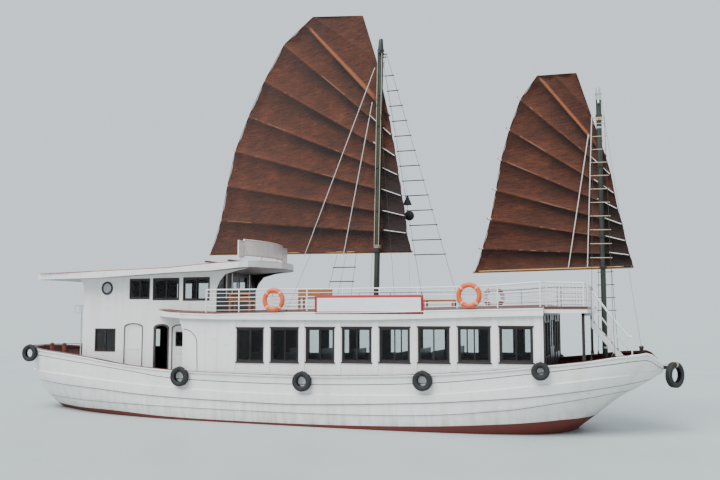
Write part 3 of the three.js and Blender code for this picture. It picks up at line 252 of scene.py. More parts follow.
SAILS = {
    "main": {
        "mast": "main_mast", "pivot": 1.86, "angle": 24, "offset": 0.15,
        # leech and luff points of each batten from the boom up, then the yard and the head
        "lines": [
            ((-9.517, 5.817), (1.245, 5.384)), ((-8.813, 7.172), (1.049, 5.993)),
            ((-8.428, 8.579), (0.993, 6.561)), ((-7.941, 9.948), (0.849, 7.233)),
            ((-7.116, 11.217), (0.711, 7.936)), ((-6.156, 12.479), (0.593, 8.588)),
            ((-5.001, 13.673), (0.43, 9.317)), ((-3.822, 14.166), (0.292, 9.996)),
            ((-3.405, 14.341), (-0.267, 12.05)), ((-2.1, 14.026), (-0.888, 13.734)),
        ],
        "boom": ((-9.6, 5.82), (1.245, 5.384)),
        "lifts": [((-0.18, 11.698), (-3.791, 5.478)), ((-0.3, 10.528), (-1.811, 5.384))],
        "creases": 1.0,
        "columns": 170,
        "lashing": 0.95,
    },
    "fore": {
        "mast": "fore_mast", "pivot": 8.93, "angle": 20, "offset": 0.124,
        "lines": [
            ((-4.533, 4.794), (0.864, 4.777)), ((-4.226, 5.574), (0.764, 5.133)),
            ((-3.9, 6.54), (0.657, 5.564)), ((-3.675, 7.511), (0.575, 6.063)),
            ((-3.472, 8.501), (0.439, 6.544)), ((-3.144, 9.472), (0.358, 7.024)),
            ((-2.716, 10.428), (0.263, 7.607)), ((-2.096, 11.101), (0.115, 8.174)),
            ((-1.5, 11.026), (-0.363, 9.686)), ((-0.95, 10.96), (-0.76, 10.94)),
        ],
        "boom": ((-4.62, 4.795), (0.864, 4.777)),
        "lifts": [((-0.352, 8.9), (-1.173, 4.79)), ((-0.234, 9.433), (-0.55, 4.79))],
        "creases": 1.3,
        "columns": 120,
        "lashing": 0.6,
    },
}
# How far the middle of each pole lies behind the cloth, and its radius
SPAR = {"batten": 0.028, "yard": 0.05, "boom": 0.045, "cloth": 0.012, "overhang": 0.15}
SPAR_RADIUS = {"batten": 0.024, "yard": 0.045, "boom": 0.042}
# Panels with battens; the line of the yard comes next
BATTENED = 7

PROPELLER = {"x": -8.75, "z": -0.78, "blades": 4, "hub": 0.05, "tip": 0.318, "steps": 7}
DECK_EDGE = {"x": (-4.1, 7.41), "white": 2.506, "brown": 2.478, "z": (3.53, 3.606)}
DECK_CAMBER = [(0.0, 0.12), (1.25, 0.085), (2.36, 0.0), (2.5, 0.0)]
RING = {"reach": 0.298, "radius": 0.068, "y": 2.507}
HANDRAIL = [(8.64, 4.06), (9.12, 3.37), (9.6, 2.76), (9.7, 2.75)]
TREADS = {"count": 7, "first": 2.01, "step": 0.19, "half": 0.11}
FOREDECK_POST = {"x": (8.41, 8.49), "y": (1.99, 2.07)}
BADGE = {"x": -7.68, "z": 4.28, "inner": 0.165, "outer": 0.235}
HELM = {"x": -3.75, "z": 4.22, "radius": 0.3, "spoke": 0.38, "stand": (-3.7, -3.44, -0.22, 0.22, 3.37, 4.1)}
SIGN = {
    "x": -2.32, "half": 1.5, "bow": 0.26, "thickness": 0.04, "board": (5.3, 5.85), "wing": (1.49, 1.88),
    "wing_z": (5.23, 5.79), "scroll": (1.68, 5.51), "legs": (-1.7, -0.6, 0.6, 1.7),
}
ROOF_RIM = (-10.2, -7.8, -4.9, -4.0, -3.3, -2.35)
ROOF_POLES = ((-3.75, -1.5, 0.9), (-3.0, -1.3, 1.4))
RACK = {"x": (-10.08, -9.7), "half": 0.12, "levels": (3.7, 3.42), "legs": (3.4, 3.712), "pole": -9.89}
BITTS = {"x": (-10.53, -9.98), "y": -0.8, "top": 2.25, "bar": 1.85}
WINDLASS = {
    "place": (9.25, 0.42),
    "axle": 0.3,
    "cheek": [(-0.12, 0), (0.12, 0), (0.12, 0.3), (0.07, 0.46), (-0.07, 0.46), (-0.12, 0.3)],
    "barrel": [(0.1, -0.2), (0.148, -0.19), (0.13, 0.0), (0.148, 0.19), (0.1, 0.2)],
}
STAGE = {
    "floor": 400, "clip": 1000, "sky": (0.78, 0.86, 0.93, 1), "sky_strength": 1.15,
    "sun": 3.8, "sun_angle": 45, "sun_way": (0.22, 0.55, -0.9),
}


def swatch(words, value):
    return FloatVectorProperty(
        name=words, description=words + " of the boat", subtype="COLOR", size=3, min=0, max=1, default=value
    )


def measure(words, value):
    return FloatProperty(name=words, description=words + " of the boat", unit="LENGTH", min=0, default=value)


class JunkBoatPaints(bpy.types.PropertyGroup):
    """Colours of the boat's finishes"""

    white: swatch("White paint", (0.86, 0.85, 0.83))
    bottom: swatch("Red bottom paint", (0.16, 0.022, 0.016))
    deck: swatch("Red-brown deck paint", (0.1, 0.028, 0.022))
    wood: swatch("Dark varnished wood", (0.014, 0.007, 0.006))
    bench: swatch("Light varnished wood", (0.36, 0.14, 0.045))
    roof: swatch("Worn roof paint", (0.42, 0.25, 0.21))
    sail: swatch("Rust-brown sailcloth", (0.112, 0.026, 0.0075))
    # The dark cloth colour: seams and stains, and the painted shade under the battens.
    sail_dark: swatch("Stained sailcloth", (0.014, 0.004, 0.002))
    pole: swatch("Poles of the sails", (0.16, 0.065, 0.028))
    mast: swatch("Mast paint", (0.018, 0.024, 0.016))
    rope: swatch("Pale rope", (0.55, 0.43, 0.29))
    ring: swatch("Orange life rings", (0.78, 0.105, 0.0225))
    rubber: swatch("Tyre rubber", (0.016, 0.016, 0.017))
    border: swatch("Red border of the banner", (0.36, 0.012, 0.022))


class JunkBoatSizes(bpy.types.PropertyGroup):
    """Sizes of the boat's details"""

    seam: measure("Plank seam depth", 0.012)
    belly: measure("Belly of the sails between battens", 0.1)
    crease: measure("Depth of the creases in the sails", 0.034)
    rope: measure("Radius of the thin ropes", 0.008)
    tread: measure("Tread depth of the tyres", 0.009)
    board: measure("Width of the deck boards", 0.13)
    sash: measure("Width of a window sash", 0.036)
    cloth_rows: IntProperty(
        name="Rows of a sail panel", description="Rows of faces between battens", default=16
    )


def paints():
    return bpy.context.scene.junk_boat_paints


def sizes():
    return bpy.context.scene.junk_boat_sizes


# Curves through tables


def span(rows, x):
    """The index of the row that ends the span of a table around x."""
    i = 1
    while i < len(rows) - 1 and x > rows[i][0]:
        i += 1
    return i


def linear(rows, column=1):
    def at(x):
        i = span(rows, x)
        a, b = rows[i - 1], rows[i]
        return a[column] + (b[column] - a[column]) * (x - a[0]) / (b[0] - a[0])

    return at


def smooth(rows, column=1):
    def slope(i):
        a, b = rows[max(i - 1, 0)], rows[min(i + 1, len(rows) - 1)]
        return (b[column] - a[column]) / (b[0] - a[0])

    def at(x):
        i = span(rows, x)
        a, b = rows[i - 1], rows[i]
        width, rise = b[0] - a[0], b[column] - a[column]
        t = min(max((x - a[0]) / width, 0), 1)
        lead = slope(i - 1) * width - rise
        trail = rise - slope(i) * width
        return a[column] + t * rise + t * (1 - t) * (lead * (1 - t) + trail * t)

    return at


def clamp(value, low=0.0, high=1.0):
    return min(max(value, low), high)


def soft(value, low, high):
    t = clamp((value - low) / (high - low))
    return t * t * (3 - 2 * t)


def steps(start, end, count):
    return [start + (end - start) * i / count for i in range(count + 1)]


def full_turn(count):
    return [2 * math.pi * i / count for i in range(count)]


def spokes(axis, count):
    """An axis as a unit vector, and unit vectors round it at right angles."""
    axis = Vector(axis).normalized()
    u = axis.orthogonal().normalized()
    v = axis.cross(u)
    return axis, [u * math.cos(t) + v * math.sin(t) for t in full_turn(count)]


def above(height):
    return Vector((0, 0, height))


def ripple(*place):
    return noise.noise(Vector(place))


sheer_half, sheer_z, keel_z, fullness, roundness, deck_z = (smooth(HULL, column) for column in range(1, 7))
wale_top, wale_foot, upper_seam, strake_lap, red_line = (
    smooth(rows) for rows in (WALE_TOP, WALE_FOOT, UPPER_SEAM, STRAKE_LAP, RED_LINE)
)
upper_top, rail_top, roof_edge = (linear(rows) for rows in (UPPER, RAIL_TOP, ROOF_TOP))
STATIONS = steps(HULL[0][0], HULL[-1][0], STATION_COUNT)


def hull_top(x):
    return deck_z(x) - DECK_DEPTH


def side_half(x, z):
    t = clamp((z - keel_z(x)) / (sheer_z(x) - keel_z(x)))
    return sheer_half(x) * (1 - (1 - t) ** fullness(x)) ** (1 / roundness(x))


def mast_x(mast, z):
    return mast["x"] + (z - mast["at"]) * mast["rake"]


def roof_surface(x, y):
    return roof_edge(x) + linear(ROOF_CAMBER)(abs(y))


# Shapes


def rect(a0, a1, b0, b1):
    return [(a0, b0), (a1, b0), (a1, b1), (a0, b1)]


def arch(a0, a1, b0, b1):
    middle, half = (a0 + a1) / 2, (a1 - a0) / 2
    foot, rise = b1 - ARCH["rise"], ARCH["rise"]
    turns = [math.pi * i / ARCH["bends"] for i in range(ARCH["bends"] + 1)]
    head = [(middle + half * math.cos(t), foot + rise * math.sin(t)) for t in turns]
    return [(a0, b0), (a1, b0), *head]


def on_side(side, half):
    """Places x, z and a depth inwards from a side wall's outer face."""
    return lambda a, b, depth: (a, side * (half - depth), b)


def on_front(x):
    return lambda a, b, depth: (x - depth, a, b)


def on_floor(z):
    return lambda a, b, depth: (a, b, z - depth)


class Shape:
    """Gathers the corners and faces of one piece."""

    def __init__(self):
        self.points = []
        self.faces = []
        self.marks = []

    def add(self, points, faces, mark=0):
        start = len(self.points)
        self.points.extend(tuple(point) for point in points)
        self.faces.extend(tuple(start + i for i in face) for face in faces)
        self.marks.extend(mark if isinstance(mark, list) else [mark] * len(faces))

    def rings(self, rings, mark=0, closed=False, mark_at=None):
        """A skin over rings of equal count; closed joins the last ring to the first."""
        count, total = len(rings[0]), len(rings)
        faces = []
        marks = []
        for i in range(total if closed else total - 1):
            for j in range(count):
                k = (j + 1) % count
                far = (i + 1) % total
                faces.append((i * count + j, i * count + k, far * count + k, far * count + j))
                marks.append(mark_at(i, j) if mark_at else mark)
        if not closed:
            faces += [tuple(reversed(range(count))), tuple(range((total - 1) * count, total * count))]
            marks += [mark, mark]
        self.add([point for ring in rings for point in ring], faces, marks)

    def tube(self, points, radius, sides=10, closed=False):
        points = [Vector(point) for point in points]
        radii = radius if isinstance(radius, list) else [radius] * len(points)
        last = len(points) - 1
        normal = None
        rings = []
        for i, point in enumerate(points):
            before = points[i - 1] if i or closed else point
            after = points[(i + 1) % len(points)] if i < last or closed else point
            along = (after - before).normalized()
            normal = along.orthogonal() if normal is None else normal - along * normal.dot(along)
            normal.normalize()
            across = along.cross(normal)
            outs = [normal * math.cos(t) + across * math.sin(t) for t in full_turn(sides)]
            rings.append([point + out * radii[i] for out in outs])
        self.rings(rings, closed=closed)

    def bar(self, start, end, radius, sides=10):
        self.tube([start, end], radius, sides)

    def box(self, x0, x1, y0, y1, z0, z1):
        self.panel(on_floor(0), rect(x0, x1, y0, y1), -z1, -z0)

    def panel(self, place, outline, near, far, mark=0):
        """A flat plate from an outline between two depths."""
        self.rings([[place(a, b, depth) for a, b in outline] for depth in (near, far)], mark)

    def border(self, place, outer, inner, near, far):
        """A flat frame between two outlines of equal count."""
        corners = ((outer, near), (outer, far), (inner, far), (inner, near))
        self.rings([[place(a, b, depth) for a, b in line] for line, depth in corners], closed=True)

    def turned(self, profile, centre, axis, segments=32, notch=None):
        """A closed profile of radius and height turned about an axis."""
        centre = Vector(centre)
        axis, outs = spokes(axis, segments)
        rings = []
        for i, out in enumerate(outs):
            cut = notch(i) if notch else 0
            rings.append([centre + out * (r - cut * worn) + axis * h for r, h, worn in profile])
        self.rings(rings, closed=True)

    def spun(self, rows, centre, axis, segments=32):
        """A solid from rows of radius and height, closed flat at both ends."""
        centre = Vector(centre)
        axis, outs = spokes(axis, segments)
        self.rings([[centre + out * r + axis * h for out in outs] for r, h in rows])


def outline_inset(outline, margin):
    """A rectangle or arch made smaller by the same margin all round."""
    a0, a1 = min(a for a, _ in outline), max(a for a, _ in outline)
    b0, b1 = min(b for _, b in outline), max(b for _, b in outline)
    a_mid, b_mid = (a0 + a1) / 2, (b0 + b1) / 2
    a_scale, b_scale = 1 - 2 * margin / (a1 - a0), 1 - 2 * margin / (b1 - b0)
    return [(a_mid + (a - a_mid) * a_scale, b_mid + (b - b_mid) * b_scale) for a, b in outline]


def make(name, shape, finishes, body=ROOT, replaces=(), round_edges=0.0, sharp=40, weld=False):
    """Turns a shape into a piece that rides on a body."""
    mesh = bpy.data.meshes.new(name)
    mesh.from_pydata(shape.points, [], shape.faces)
    finishes = finishes if isinstance(finishes, list) else [finishes]
    for finish in finishes:
        mesh.materials.append(finish)
    mesh.polygons.foreach_set("material_index", shape.marks)
    mesh.polygons.foreach_set("use_smooth", [True] * len(shape.faces))
    work = bmesh.new()
    work.from_mesh(mesh)
    if weld:
        bmesh.ops.remove_doubles(work, verts=work.verts, dist=1e-5)
        bmesh.ops.dissolve_degenerate(work, dist=1e-6, edges=work.edges)
    bmesh.ops.recalc_face_normals(work, faces=work.faces)
    work.to_mesh(mesh)
    work.free()
    mesh.set_sharp_from_angle(angle=math.radians(sharp))
    piece = bpy.data.objects.new(name, mesh)
    bpy.context.scene.collection.objects.link(piece)
    if round_edges:
        bevel = piece.modifiers.new("Rounded edges", "BEVEL")
        bevel.width = round_edges
        bevel.segments = 2
        bevel.limit_method = "ANGLE"
        bevel.angle_limit = math.radians(50)
    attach(piece, body)
    if replaces:
        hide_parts(*replaces)
    return piece


def dress(node, finish):
    """Gives a node of the frame a better finish."""
    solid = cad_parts[node]
    if not solid.material_slots:
        solid.data.materials.append(finish)
    for holder in solid.material_slots:
        holder.material = finish


# Finishes


class Finish:
    """A material built by short calls."""

    def __init__(self, name, roughness=0.5, **sockets):
        self.material = bpy.data.materials.new(name)
        self.material.use_nodes = True
        self.tree = self.material.node_tree
        self.shader = self.tree.nodes["Principled BSDF"]
        self.place = self.tree.nodes.new("ShaderNodeTexCoord").outputs["Object"]
        self.shader.inputs["Roughness"].default_value = roughness
        for socket, value in sockets.items():
            self.shader.inputs[socket.replace("_", " ")].default_value = value

    def feed(self, socket, value):
        if isinstance(value, bpy.types.NodeSocket):
            self.tree.links.new(value, socket)
        elif hasattr(value, "__len__") and len(value) == 3 and len(socket.default_value) == 4:
            socket.default_value = (*value, 1)
        else:
            socket.default_value = value

    def node(self, kind, inputs=None, **settings):
        node = self.tree.nodes.new("ShaderNode" + kind)
        for key, value in settings.items():
            setattr(node, key, value)
        for key, value in (inputs or {}).items():
            self.feed(node.inputs[key], value)
        return node

    def noise(self, scale, stretch=(1, 1, 1), detail=4.0, roughness=0.55, turn=0.0):
        spread = self.node("Mapping", {"Vector": self.place, "Rotation": (0, turn, 0), "Scale": stretch})
        inputs = {"Vector": spread.outputs[0], "Scale": scale, "Detail": detail, "Roughness": roughness}
        return self.node("TexNoise", inputs).outputs["Fac"]

    def maths(self, operation, a, b=0.0):
        return self.node("Math", {0: a, 1: b}, operation=operation).outputs[0]

    def times(self, a, b):
        return self.maths("MULTIPLY", a, b)

    def step(self, value, low, high):
        return self.node("MapRange", {"Value": value, "From Min": low, "From Max": high}).outputs[0]

    def axis(self, letter):
        return self.node("SeparateXYZ", {0: self.place}).outputs[letter]

    def lines(self, letter, pitch, width):
        """1 on thin lines across an axis, 0 between them."""
        wave = self.maths("PINGPONG", self.maths("DIVIDE", self.axis(letter), pitch), 0.5)
        return self.step(wave, width / pitch, 0.0)

    def blend(self, factor, a, b):
        return self.node("Mix", {0: factor, 6: a, 7: b}, data_type="RGBA").outputs[2]

    def facing(self, low, high):
        """1 where a face looks up, from low to high of its upward part."""
        normal = self.node("NewGeometry").outputs["Normal"]
        up = self.node("SeparateXYZ", {0: normal}).outputs["Z"]
        return self.step(up, low, high)

    def colour(self, value):
        self.feed(self.shader.inputs["Base Color"], value)

    def bump(self, height, distance=0.002, strength=0.6):
        inputs = {"Height": height, "Distance": distance, "Strength": strength}
        self.feed(self.shader.inputs["Normal"], self.node("Bump", inputs).outputs[0])

    def rough(self, value, low, high):
        inputs = {"Value": value, "To Min": low, "To Max": high}
        self.feed(self.shader.inputs["Roughness"], self.node("MapRange", inputs).outputs[0])


def shade(colour, factor):
    return tuple(clamp(part * factor) for part in colour)


def tinted(colour, red, green, blue):
    return (clamp(colour[0] * red), clamp(colour[1] * green), clamp(colour[2] * blue))


def kept(name, dress_up, roughness=0.5, **sockets):
    """A finish by its name, made once."""
    found = bpy.data.materials.get(name)
    if found:
        return found
    finish = Finish(name, roughness, **sockets)
    dress_up(finish)
    return finish.material


def white_base(finish, white):
    """White oil paint with rain streaks and small stains."""
    streaks = finish.step(finish.noise(1.3, (1.6, 1.6, 0.3)), 0.48, 0.78)
    stains_and_shading = finish.step(finish.noise(5.5), 0.58, 0.82)
    weathered = finish.blend(streaks, white, tinted(white, 0.87, 0.85, 0.8))
    return finish.blend(stains_and_shading, weathered, tinted(white, 0.8, 0.76, 0.68))


def white_paint():
    def build(finish):
        finish.colour(white_base(finish, tuple(paints().white)))
        finish.rough(finish.noise(7.0), 0.32, 0.55)
        finish.bump(finish.noise(22.0, (1, 1, 0.6)), 0.0015)

    return kept("White oil paint", build, Coat_Weight=0.15, Coat_Roughness=0.3)


def hull_paint():
    """White topsides, dirtier towards the water."""

    def build(finish):
        white = tuple(paints().white)
        clean = white_base(finish, white)
        runs = finish.noise(2.2, (2.6, 1.2, 0.16), 5.0)
        low = finish.step(finish.axis("Z"), 1.1, 0.0)
        grime = finish.times(low, finish.step(runs, 0.42, 0.7))
        finish.colour(finish.blend(grime, clean, tinted(white, 0.66, 0.64, 0.55)))
        finish.rough(runs, 0.28, 0.52)
        finish.bump(finish.noise(9.0, (0.12, 1, 1.4)), 0.004)

    return kept("White topside paint", build, Coat_Weight=0.2, Coat_Roughness=0.25)


def wall_paint(half):
    """White boards outside, dark wood inside the given half breadth."""

    def build(finish):
        white = tuple(paints().white)
        joints = finish.lines("X", 0.16, 0.004)
        outside = finish.blend(finish.times(joints, 0.35), white_base(finish, white), shade(white, 0.45))
        inside = finish.step(finish.maths("ABSOLUTE", finish.axis("Y")), half - 0.02, half - 0.03)
        finish.colour(finish.blend(inside, outside, tuple(paints().wood)))
        finish.rough(finish.noise(6.0), 0.36, 0.56)
        finish.bump(finish.maths("SUBTRACT", finish.noise(18.0, (1, 1, 0.3)), joints), 0.002)

    return kept(f"White boards {half:g}", build, Coat_Weight=0.12, Coat_Roughness=0.35)


def bottom_paint():
    def build(finish):
        red = tuple(paints().bottom)
        patches = finish.step(finish.noise(3.0, (0.6, 1, 2)), 0.4, 0.75)
        finish.colour(finish.blend(patches, red, tinted(red, 0.6, 1.3, 1.2)))
        finish.bump(finish.noise(30.0), 0.003)

    return kept("Red bottom paint", build, 0.7)


def deck_paint():
    """Painted boards with open joints, worn along the grain."""

    def build(finish):
        colour = tuple(paints().deck)
        grain = finish.noise(26.0, (0.15, 1, 1), 5.0)
        bare = finish.step(finish.noise(2.0), 0.45, 0.75)
        joints = finish.lines("Y", sizes().board, 0.007)
        wood = finish.blend(grain, shade(colour, 0.7), shade(colour, 1.25))
        aged = finish.blend(finish.times(bare, 0.5), wood, tinted(colour, 1.5, 1.7, 1.8))
        finish.colour(finish.blend(joints, aged, shade(colour, 0.15)))
        finish.rough(bare, 0.5, 0.75)
        finish.bump(finish.maths("SUBTRACT", finish.times(grain, 0.4), joints), 0.004)

    return kept("Red-brown deck boards", build, 0.6)


def varnish(name="Dark varnish", colour=None, along=(0.12, 1, 1)):
    """Varnished wood with grain along one axis."""

    def build(finish):
        base = colour or tuple(paints().wood)
        grain = finish.noise(30.0, along, 6.0, 0.65)
        broad = finish.noise(4.0, along)
        wood = finish.blend(grain, shade(base, 0.55), tinted(base, 1.7, 1.5, 1.3))
        finish.colour(finish.blend(finish.step(broad, 0.4, 0.8), wood, shade(base, 0.8)))
        finish.rough(grain, 0.25, 0.5)
        finish.bump(grain, 0.001, 0.4)

    return kept(name, build, 0.35, Coat_Weight=0.12, Coat_Roughness=0.25)


def upright_varnish():
    return varnish("Dark varnish, upright", along=(1, 1, 0.12))


def cap_varnish():
    return varnish("Cap rail varnish", tuple(paints().deck))


def bench_varnish():
    return varnish("Light varnish", tuple(paints().bench))


def two_sided_paint(name, top, under):
    """One colour on faces that look up, another on faces that look down, white on the edges."""

    def build(finish):
        white = white_base(finish, tuple(paints().white))
        joints = finish.lines("Y", sizes().board, 0.006)
        bare = finish.step(finish.noise(2.4, (0.4, 1, 1)), 0.42, 0.72)
        face = finish.blend(bare, top, tinted(top, 1.25, 1.35, 1.4))
        face = finish.blend(finish.times(joints, 0.7), face, shade(top, 0.4))
        edged = finish.blend(finish.facing(0.75, 0.85), white, face)
        finish.colour(finish.blend(finish.facing(-0.75, -0.85), edged, under))
        finish.rough(bare, 0.45, 0.7)
        finish.bump(finish.maths("SUBTRACT", finish.noise(14.0), joints), 0.002)

    return kept(name, build, 0.55)


def upper_deck_paint():
    return two_sided_paint("Upper deck boards", tuple(paints().deck), tuple(paints().wood))


def roof_paint():
    # Faces that look down take white darkened to grey: painted shade under the roof.
    return two_sided_paint("Worn roof boards", tuple(paints().roof), shade(tuple(paints().white), 0.55))


def sailcloth():
    """Tanned canvas: woven, seamed in upright widths, streaked, with painted shade in its creases; dark where
    the mesh's mark is above zero (painted shade and stains), light where it is below zero (painted
    highlight).
    """

    def build(finish):
        light, dark = tuple(paints().sail), tuple(paints().sail_dark)
        mark = finish.node("Attribute", attribute_name="stain").outputs["Fac"]
        clouds = finish.noise(0.9, (1, 1, 1), 6.0, 0.65)
        streaks = finish.noise(3.0, (0.5, 1, 3.2), 6.0, 0.7, 0.3)
        crease_shade = finish.noise(5.0, (0.45, 0.45, 2.4), 8.0, 0.72, 0.3)
        specks = finish.noise(34.0, (1, 1, 1.6), 4.0)
        tone = finish.maths("ADD", finish.times(clouds, 0.55), finish.times(streaks, 0.5))
        cloth = finish.blend(finish.step(tone, 0.4, 0.62), shade(light, 0.42), light)
        for factor, colour in (
            (finish.step(tone, 0.58, 0.74), tinted(light, 1.5, 1.75, 1.9)),
            # Painted shade in the creases.
            (finish.step(crease_shade, 0.52, 0.64), shade(light, 0.3)),
            (finish.step(specks, 0.52, 0.72), shade(light, 0.3)),
            (finish.times(finish.lines("X", 0.93, 0.012), 0.6), dark),
            # The mark paints shade and stains in the dark cloth colour, and highlight where it is below zero.
            (finish.step(mark, 0.0, 1.0), dark),
            (finish.step(mark, 0.0, -1.0), tinted(light, 2.9, 3.8, 4.4)),
        ):
            cloth = finish.blend(factor, cloth, colour)
        finish.colour(cloth)
        weave = finish.maths("ADD", finish.lines("X", 0.012, 0.005), finish.lines("Z", 0.012, 0.005))
        folds = finish.noise(6.0, (0.5, 0.5, 2.2), 7.0, 0.72, 0.3)
        finish.bump(finish.maths("ADD", finish.times(weave, 0.04), folds), 0.05, 0.8)

    return kept("Tanned sailcloth", build, 0.85, Sheen_Weight=0.04, Sheen_Roughness=0.5)


def plain_cloth():
    def build(finish):
        finish.colour(finish.blend(finish.noise(3.0), (0.74, 0.75, 0.76), (0.86, 0.86, 0.86)))
        finish.bump(finish.noise(60.0), 0.001)

    return kept("White banner cloth", build, 0.75, Sheen_Weight=0.1)


def window_glass():
    def build(finish):
        finish.colour(finish.blend(finish.noise(2.0), (0.72, 0.76, 0.76), (0.84, 0.87, 0.87)))

    return kept("Cabin glass", build, 0.04, Transmission_Weight=1.0, IOR=1.2)


FIBRE = {"scale": 60.0, "bump": 0.002}
WORN = {
    # name, colour or the paint that gives it, roughness, and what sets it apart
    "poles": ("Weathered poles", "pole", 0.6, {"scale": 9.0, "along": (0.4, 1, 1)}),
    "mast": ("Dark mast paint", "mast", 0.5, {"scale": 5.0, "along": (2, 2, 0.25), "high": 1.7}),
    "rope": ("Pale rope fibre", "rope", 0.85, FIBRE),
    "dark_rope": ("Dark tarred rope", (0.035, 0.033, 0.03), 0.85, FIBRE),
    "white_rope": ("White rope", (0.74, 0.72, 0.68), 0.85, FIBRE),
    "hem_rope": ("Tanned hem rope", "sail", 0.85, {"low": 0.35, "high": 0.625, "scale": 50.0, "bump": 0.002}),
    # Grey on the faces of the plank seams and the bulwark's groove: painted shade in the recess.
    "seams": ("Grey seams", (0.2, 0.195, 0.18), 0.8, {}),
    "trim": ("Dark trim paint", (0.085, 0.07, 0.06), 0.5, {}),
    "pale_trim": ("Pale trim paint", (0.68, 0.64, 0.58), 0.5, {}),
    "roof_rim": ("Red roof rim", (0.42, 0.13, 0.1), 0.6, {}),
    "badge": ("Grey badge", (0.36, 0.37, 0.36), 0.5, {}),
    "canvas": ("Black canvas", (0.012, 0.014, 0.013), 0.8, {}),
    "tyre": ("Worn tyre rubber", "rubber", 0.75, {"low": 0.6, "high": 1.7, "scale": 8.0}),
    "ring": ("Orange ring shell", "ring", 0.45, {"low": 0.85, "high": 1.1, "scale": 6.0}),
    "ring_bands": ("Pale ring bands", (0.8, 0.42, 0.24), 0.5, {}),
    "border": ("Red border cloth", "border", 0.7, {"low": 0.8, "high": 1.15, "scale": 20.0}),
    "bronze": ("Cast bronze", (0.42, 0.25, 0.1), 0.35, {"metallic": 1.0}),
    "iron": ("Painted iron", (0.05, 0.055, 0.06), 0.5, {"metallic": 0.4}),
    "metal": ("Galvanised metal", (0.6, 0.61, 0.62), 0.4, {"metallic": 0.9, "low": 0.8}),
    "floor": ("Pale floor", (0.44, 0.49, 0.49), 0.5, {"low": 0.97, "high": 1.03, "scale": 0.3, "bump": 0.0}),
}


def worn(key):
    """A finish from the table, which wanders between a darker and a lighter tone."""
    name, colour, roughness, settings = WORN[key]
    if isinstance(colour, str):
        colour = tuple(getattr(paints(), colour))
    scale, along = settings.get("scale", 14.0), settings.get("along", (1, 1, 1))
    low, high = settings.get("low", 0.7), settings.get("high", 1.25)

    def build(finish):
        patches = finish.step(finish.noise(scale, along, 5.0), 0.3, 0.7)
        finish.colour(finish.blend(patches, shade(colour, low), shade(colour, high)))
        finish.rough(patches, max(roughness - 0.12, 0.05), roughness + 0.12)
        finish.bump(finish.noise(scale * 3), settings.get("bump", 0.001))

    return kept(name, build, roughness, Metallic=settings.get("metallic", 0.0))


# Hull


def hull_section(x):
    """Half section from the keel up, as rows of half breadth and height."""
    keel, top = keel_z(x), hull_top(x)
    foot, head = wale_foot(x), wale_top(x)
    red, lap = red_line(x), strake_lap(x)
    ends = soft(x, -11.5, -11.0) * soft(-x, -10.45, -10.1)
    rows = [(keel + (red - keel) * t ** 1.7, 0.0) for t in steps(0, 1, 12)[1:]]
    rows += [(z, 0.0) for z in steps(red, lap - 0.02, 5)[1:]]
    proud = sizes().seam * 1.5
    rows += [(z, proud * (1 - t)) for z, t in zip(steps(lap, foot - 0.022, 5), steps(0, 1, 5))]
    rows += [(foot, 0.6 * WALE_PROUD), (foot + 0.014, WALE_PROUD)]
    rows += [(z, WALE_PROUD) for z in steps(foot + 0.03, head - 0.014, 3)]
    rows += [(head, 0.7 * WALE_PROUD), (head + 0.004, 0.0)]
    rows += [(z, 0.0) for z in steps(head + 0.004, top, 3)[1:]]
    section = []
    for z, push in rows:
        z = clamp(z, keel, top)
        push *= ends * soft(z, keel, keel + 0.15)
        section.append((side_half(x, z) + push, z))
    return section


# Rows of the half section: those under the red line, its two seams, and a bulwark's groove
RED_ROWS = 12
SEAM_ROWS = (17, 23)
GROOVE_ROWS = (5, 6)


def hull_planking():
    shape = Shape()
    rings = []
    for x in STATIONS:
        half = hull_section(x)
        port = [(x, y, z) for y, z in half]
        starboard = [(x, -y, z) for y, z in reversed(half)]
        rings.append([(x, 0, keel_z(x)), *port, (x, 0, half[-1][1]), *starboard])
    count = len(rings[0])

    def mark_at(i, j):
        row = min(j, count - 1 - j)
        # Seam rows take the grey finish, painted shade in the groove.
        return 2 if row in SEAM_ROWS else int(row < RED_ROWS)

    shape.rings(rings, mark_at=mark_at)
    shape.panel(lambda a, b, depth: (a, depth, b), KEEL_OUTLINE, -0.09, 0.09, 1)
    finishes = [hull_paint(), bottom_paint(), worn("seams")]
    make("hull_planking", shape, finishes, replaces=["hull"], weld=True)


def inner_half(x, half, inset):
    """Inner edge of a bulwark or cap rail, which closes to the centreline at both ends."""
    open_part = clamp((x - CLOSED_ENDS[0]) / 0.2) * clamp((CLOSED_ENDS[1] - x) / 0.1)
    return max((half - inset) * open_part, 0.0002)


def bulwark(name, side):
    rings = []
    for x in STATIONS:
        foot, head = hull_top(x) + GAP, sheer_z(x) - CAP["height"]
        seam = clamp(upper_seam(x), foot + 0.03, head - 0.02)
        outer = [(z, 0.0) for z in steps(foot, seam - 0.013, 5)]
        outer += [(seam, -sizes().seam), (seam + 0.013, 0.0)]
        outer += [(z, 0.0) for z in steps(seam + 0.013, head, 3)[1:]]
        ring = [(x, side * (side_half(x, z) + push), z) for z, push in outer]
        inner = [inner_half(x, side_half(x, z), BULWARK) for z in (head, foot)]
        rings.append([*ring, (x, side * inner[0], head), (x, side * inner[1], foot)])
    shape = Shape()
    inner_face = len(rings[0]) - 2
    # The groove's faces take the grey finish, painted shade in the recess.
    shape.rings(rings, mark_at=lambda i, j: 2 if j in GROOVE_ROWS else int(j == inner_face))
    finishes = [hull_paint(), deck_paint(), worn("seams")]
    make(f"bulwark_planks_{name}", shape, finishes, replaces=[f"bulwark_{name}"], weld=True)


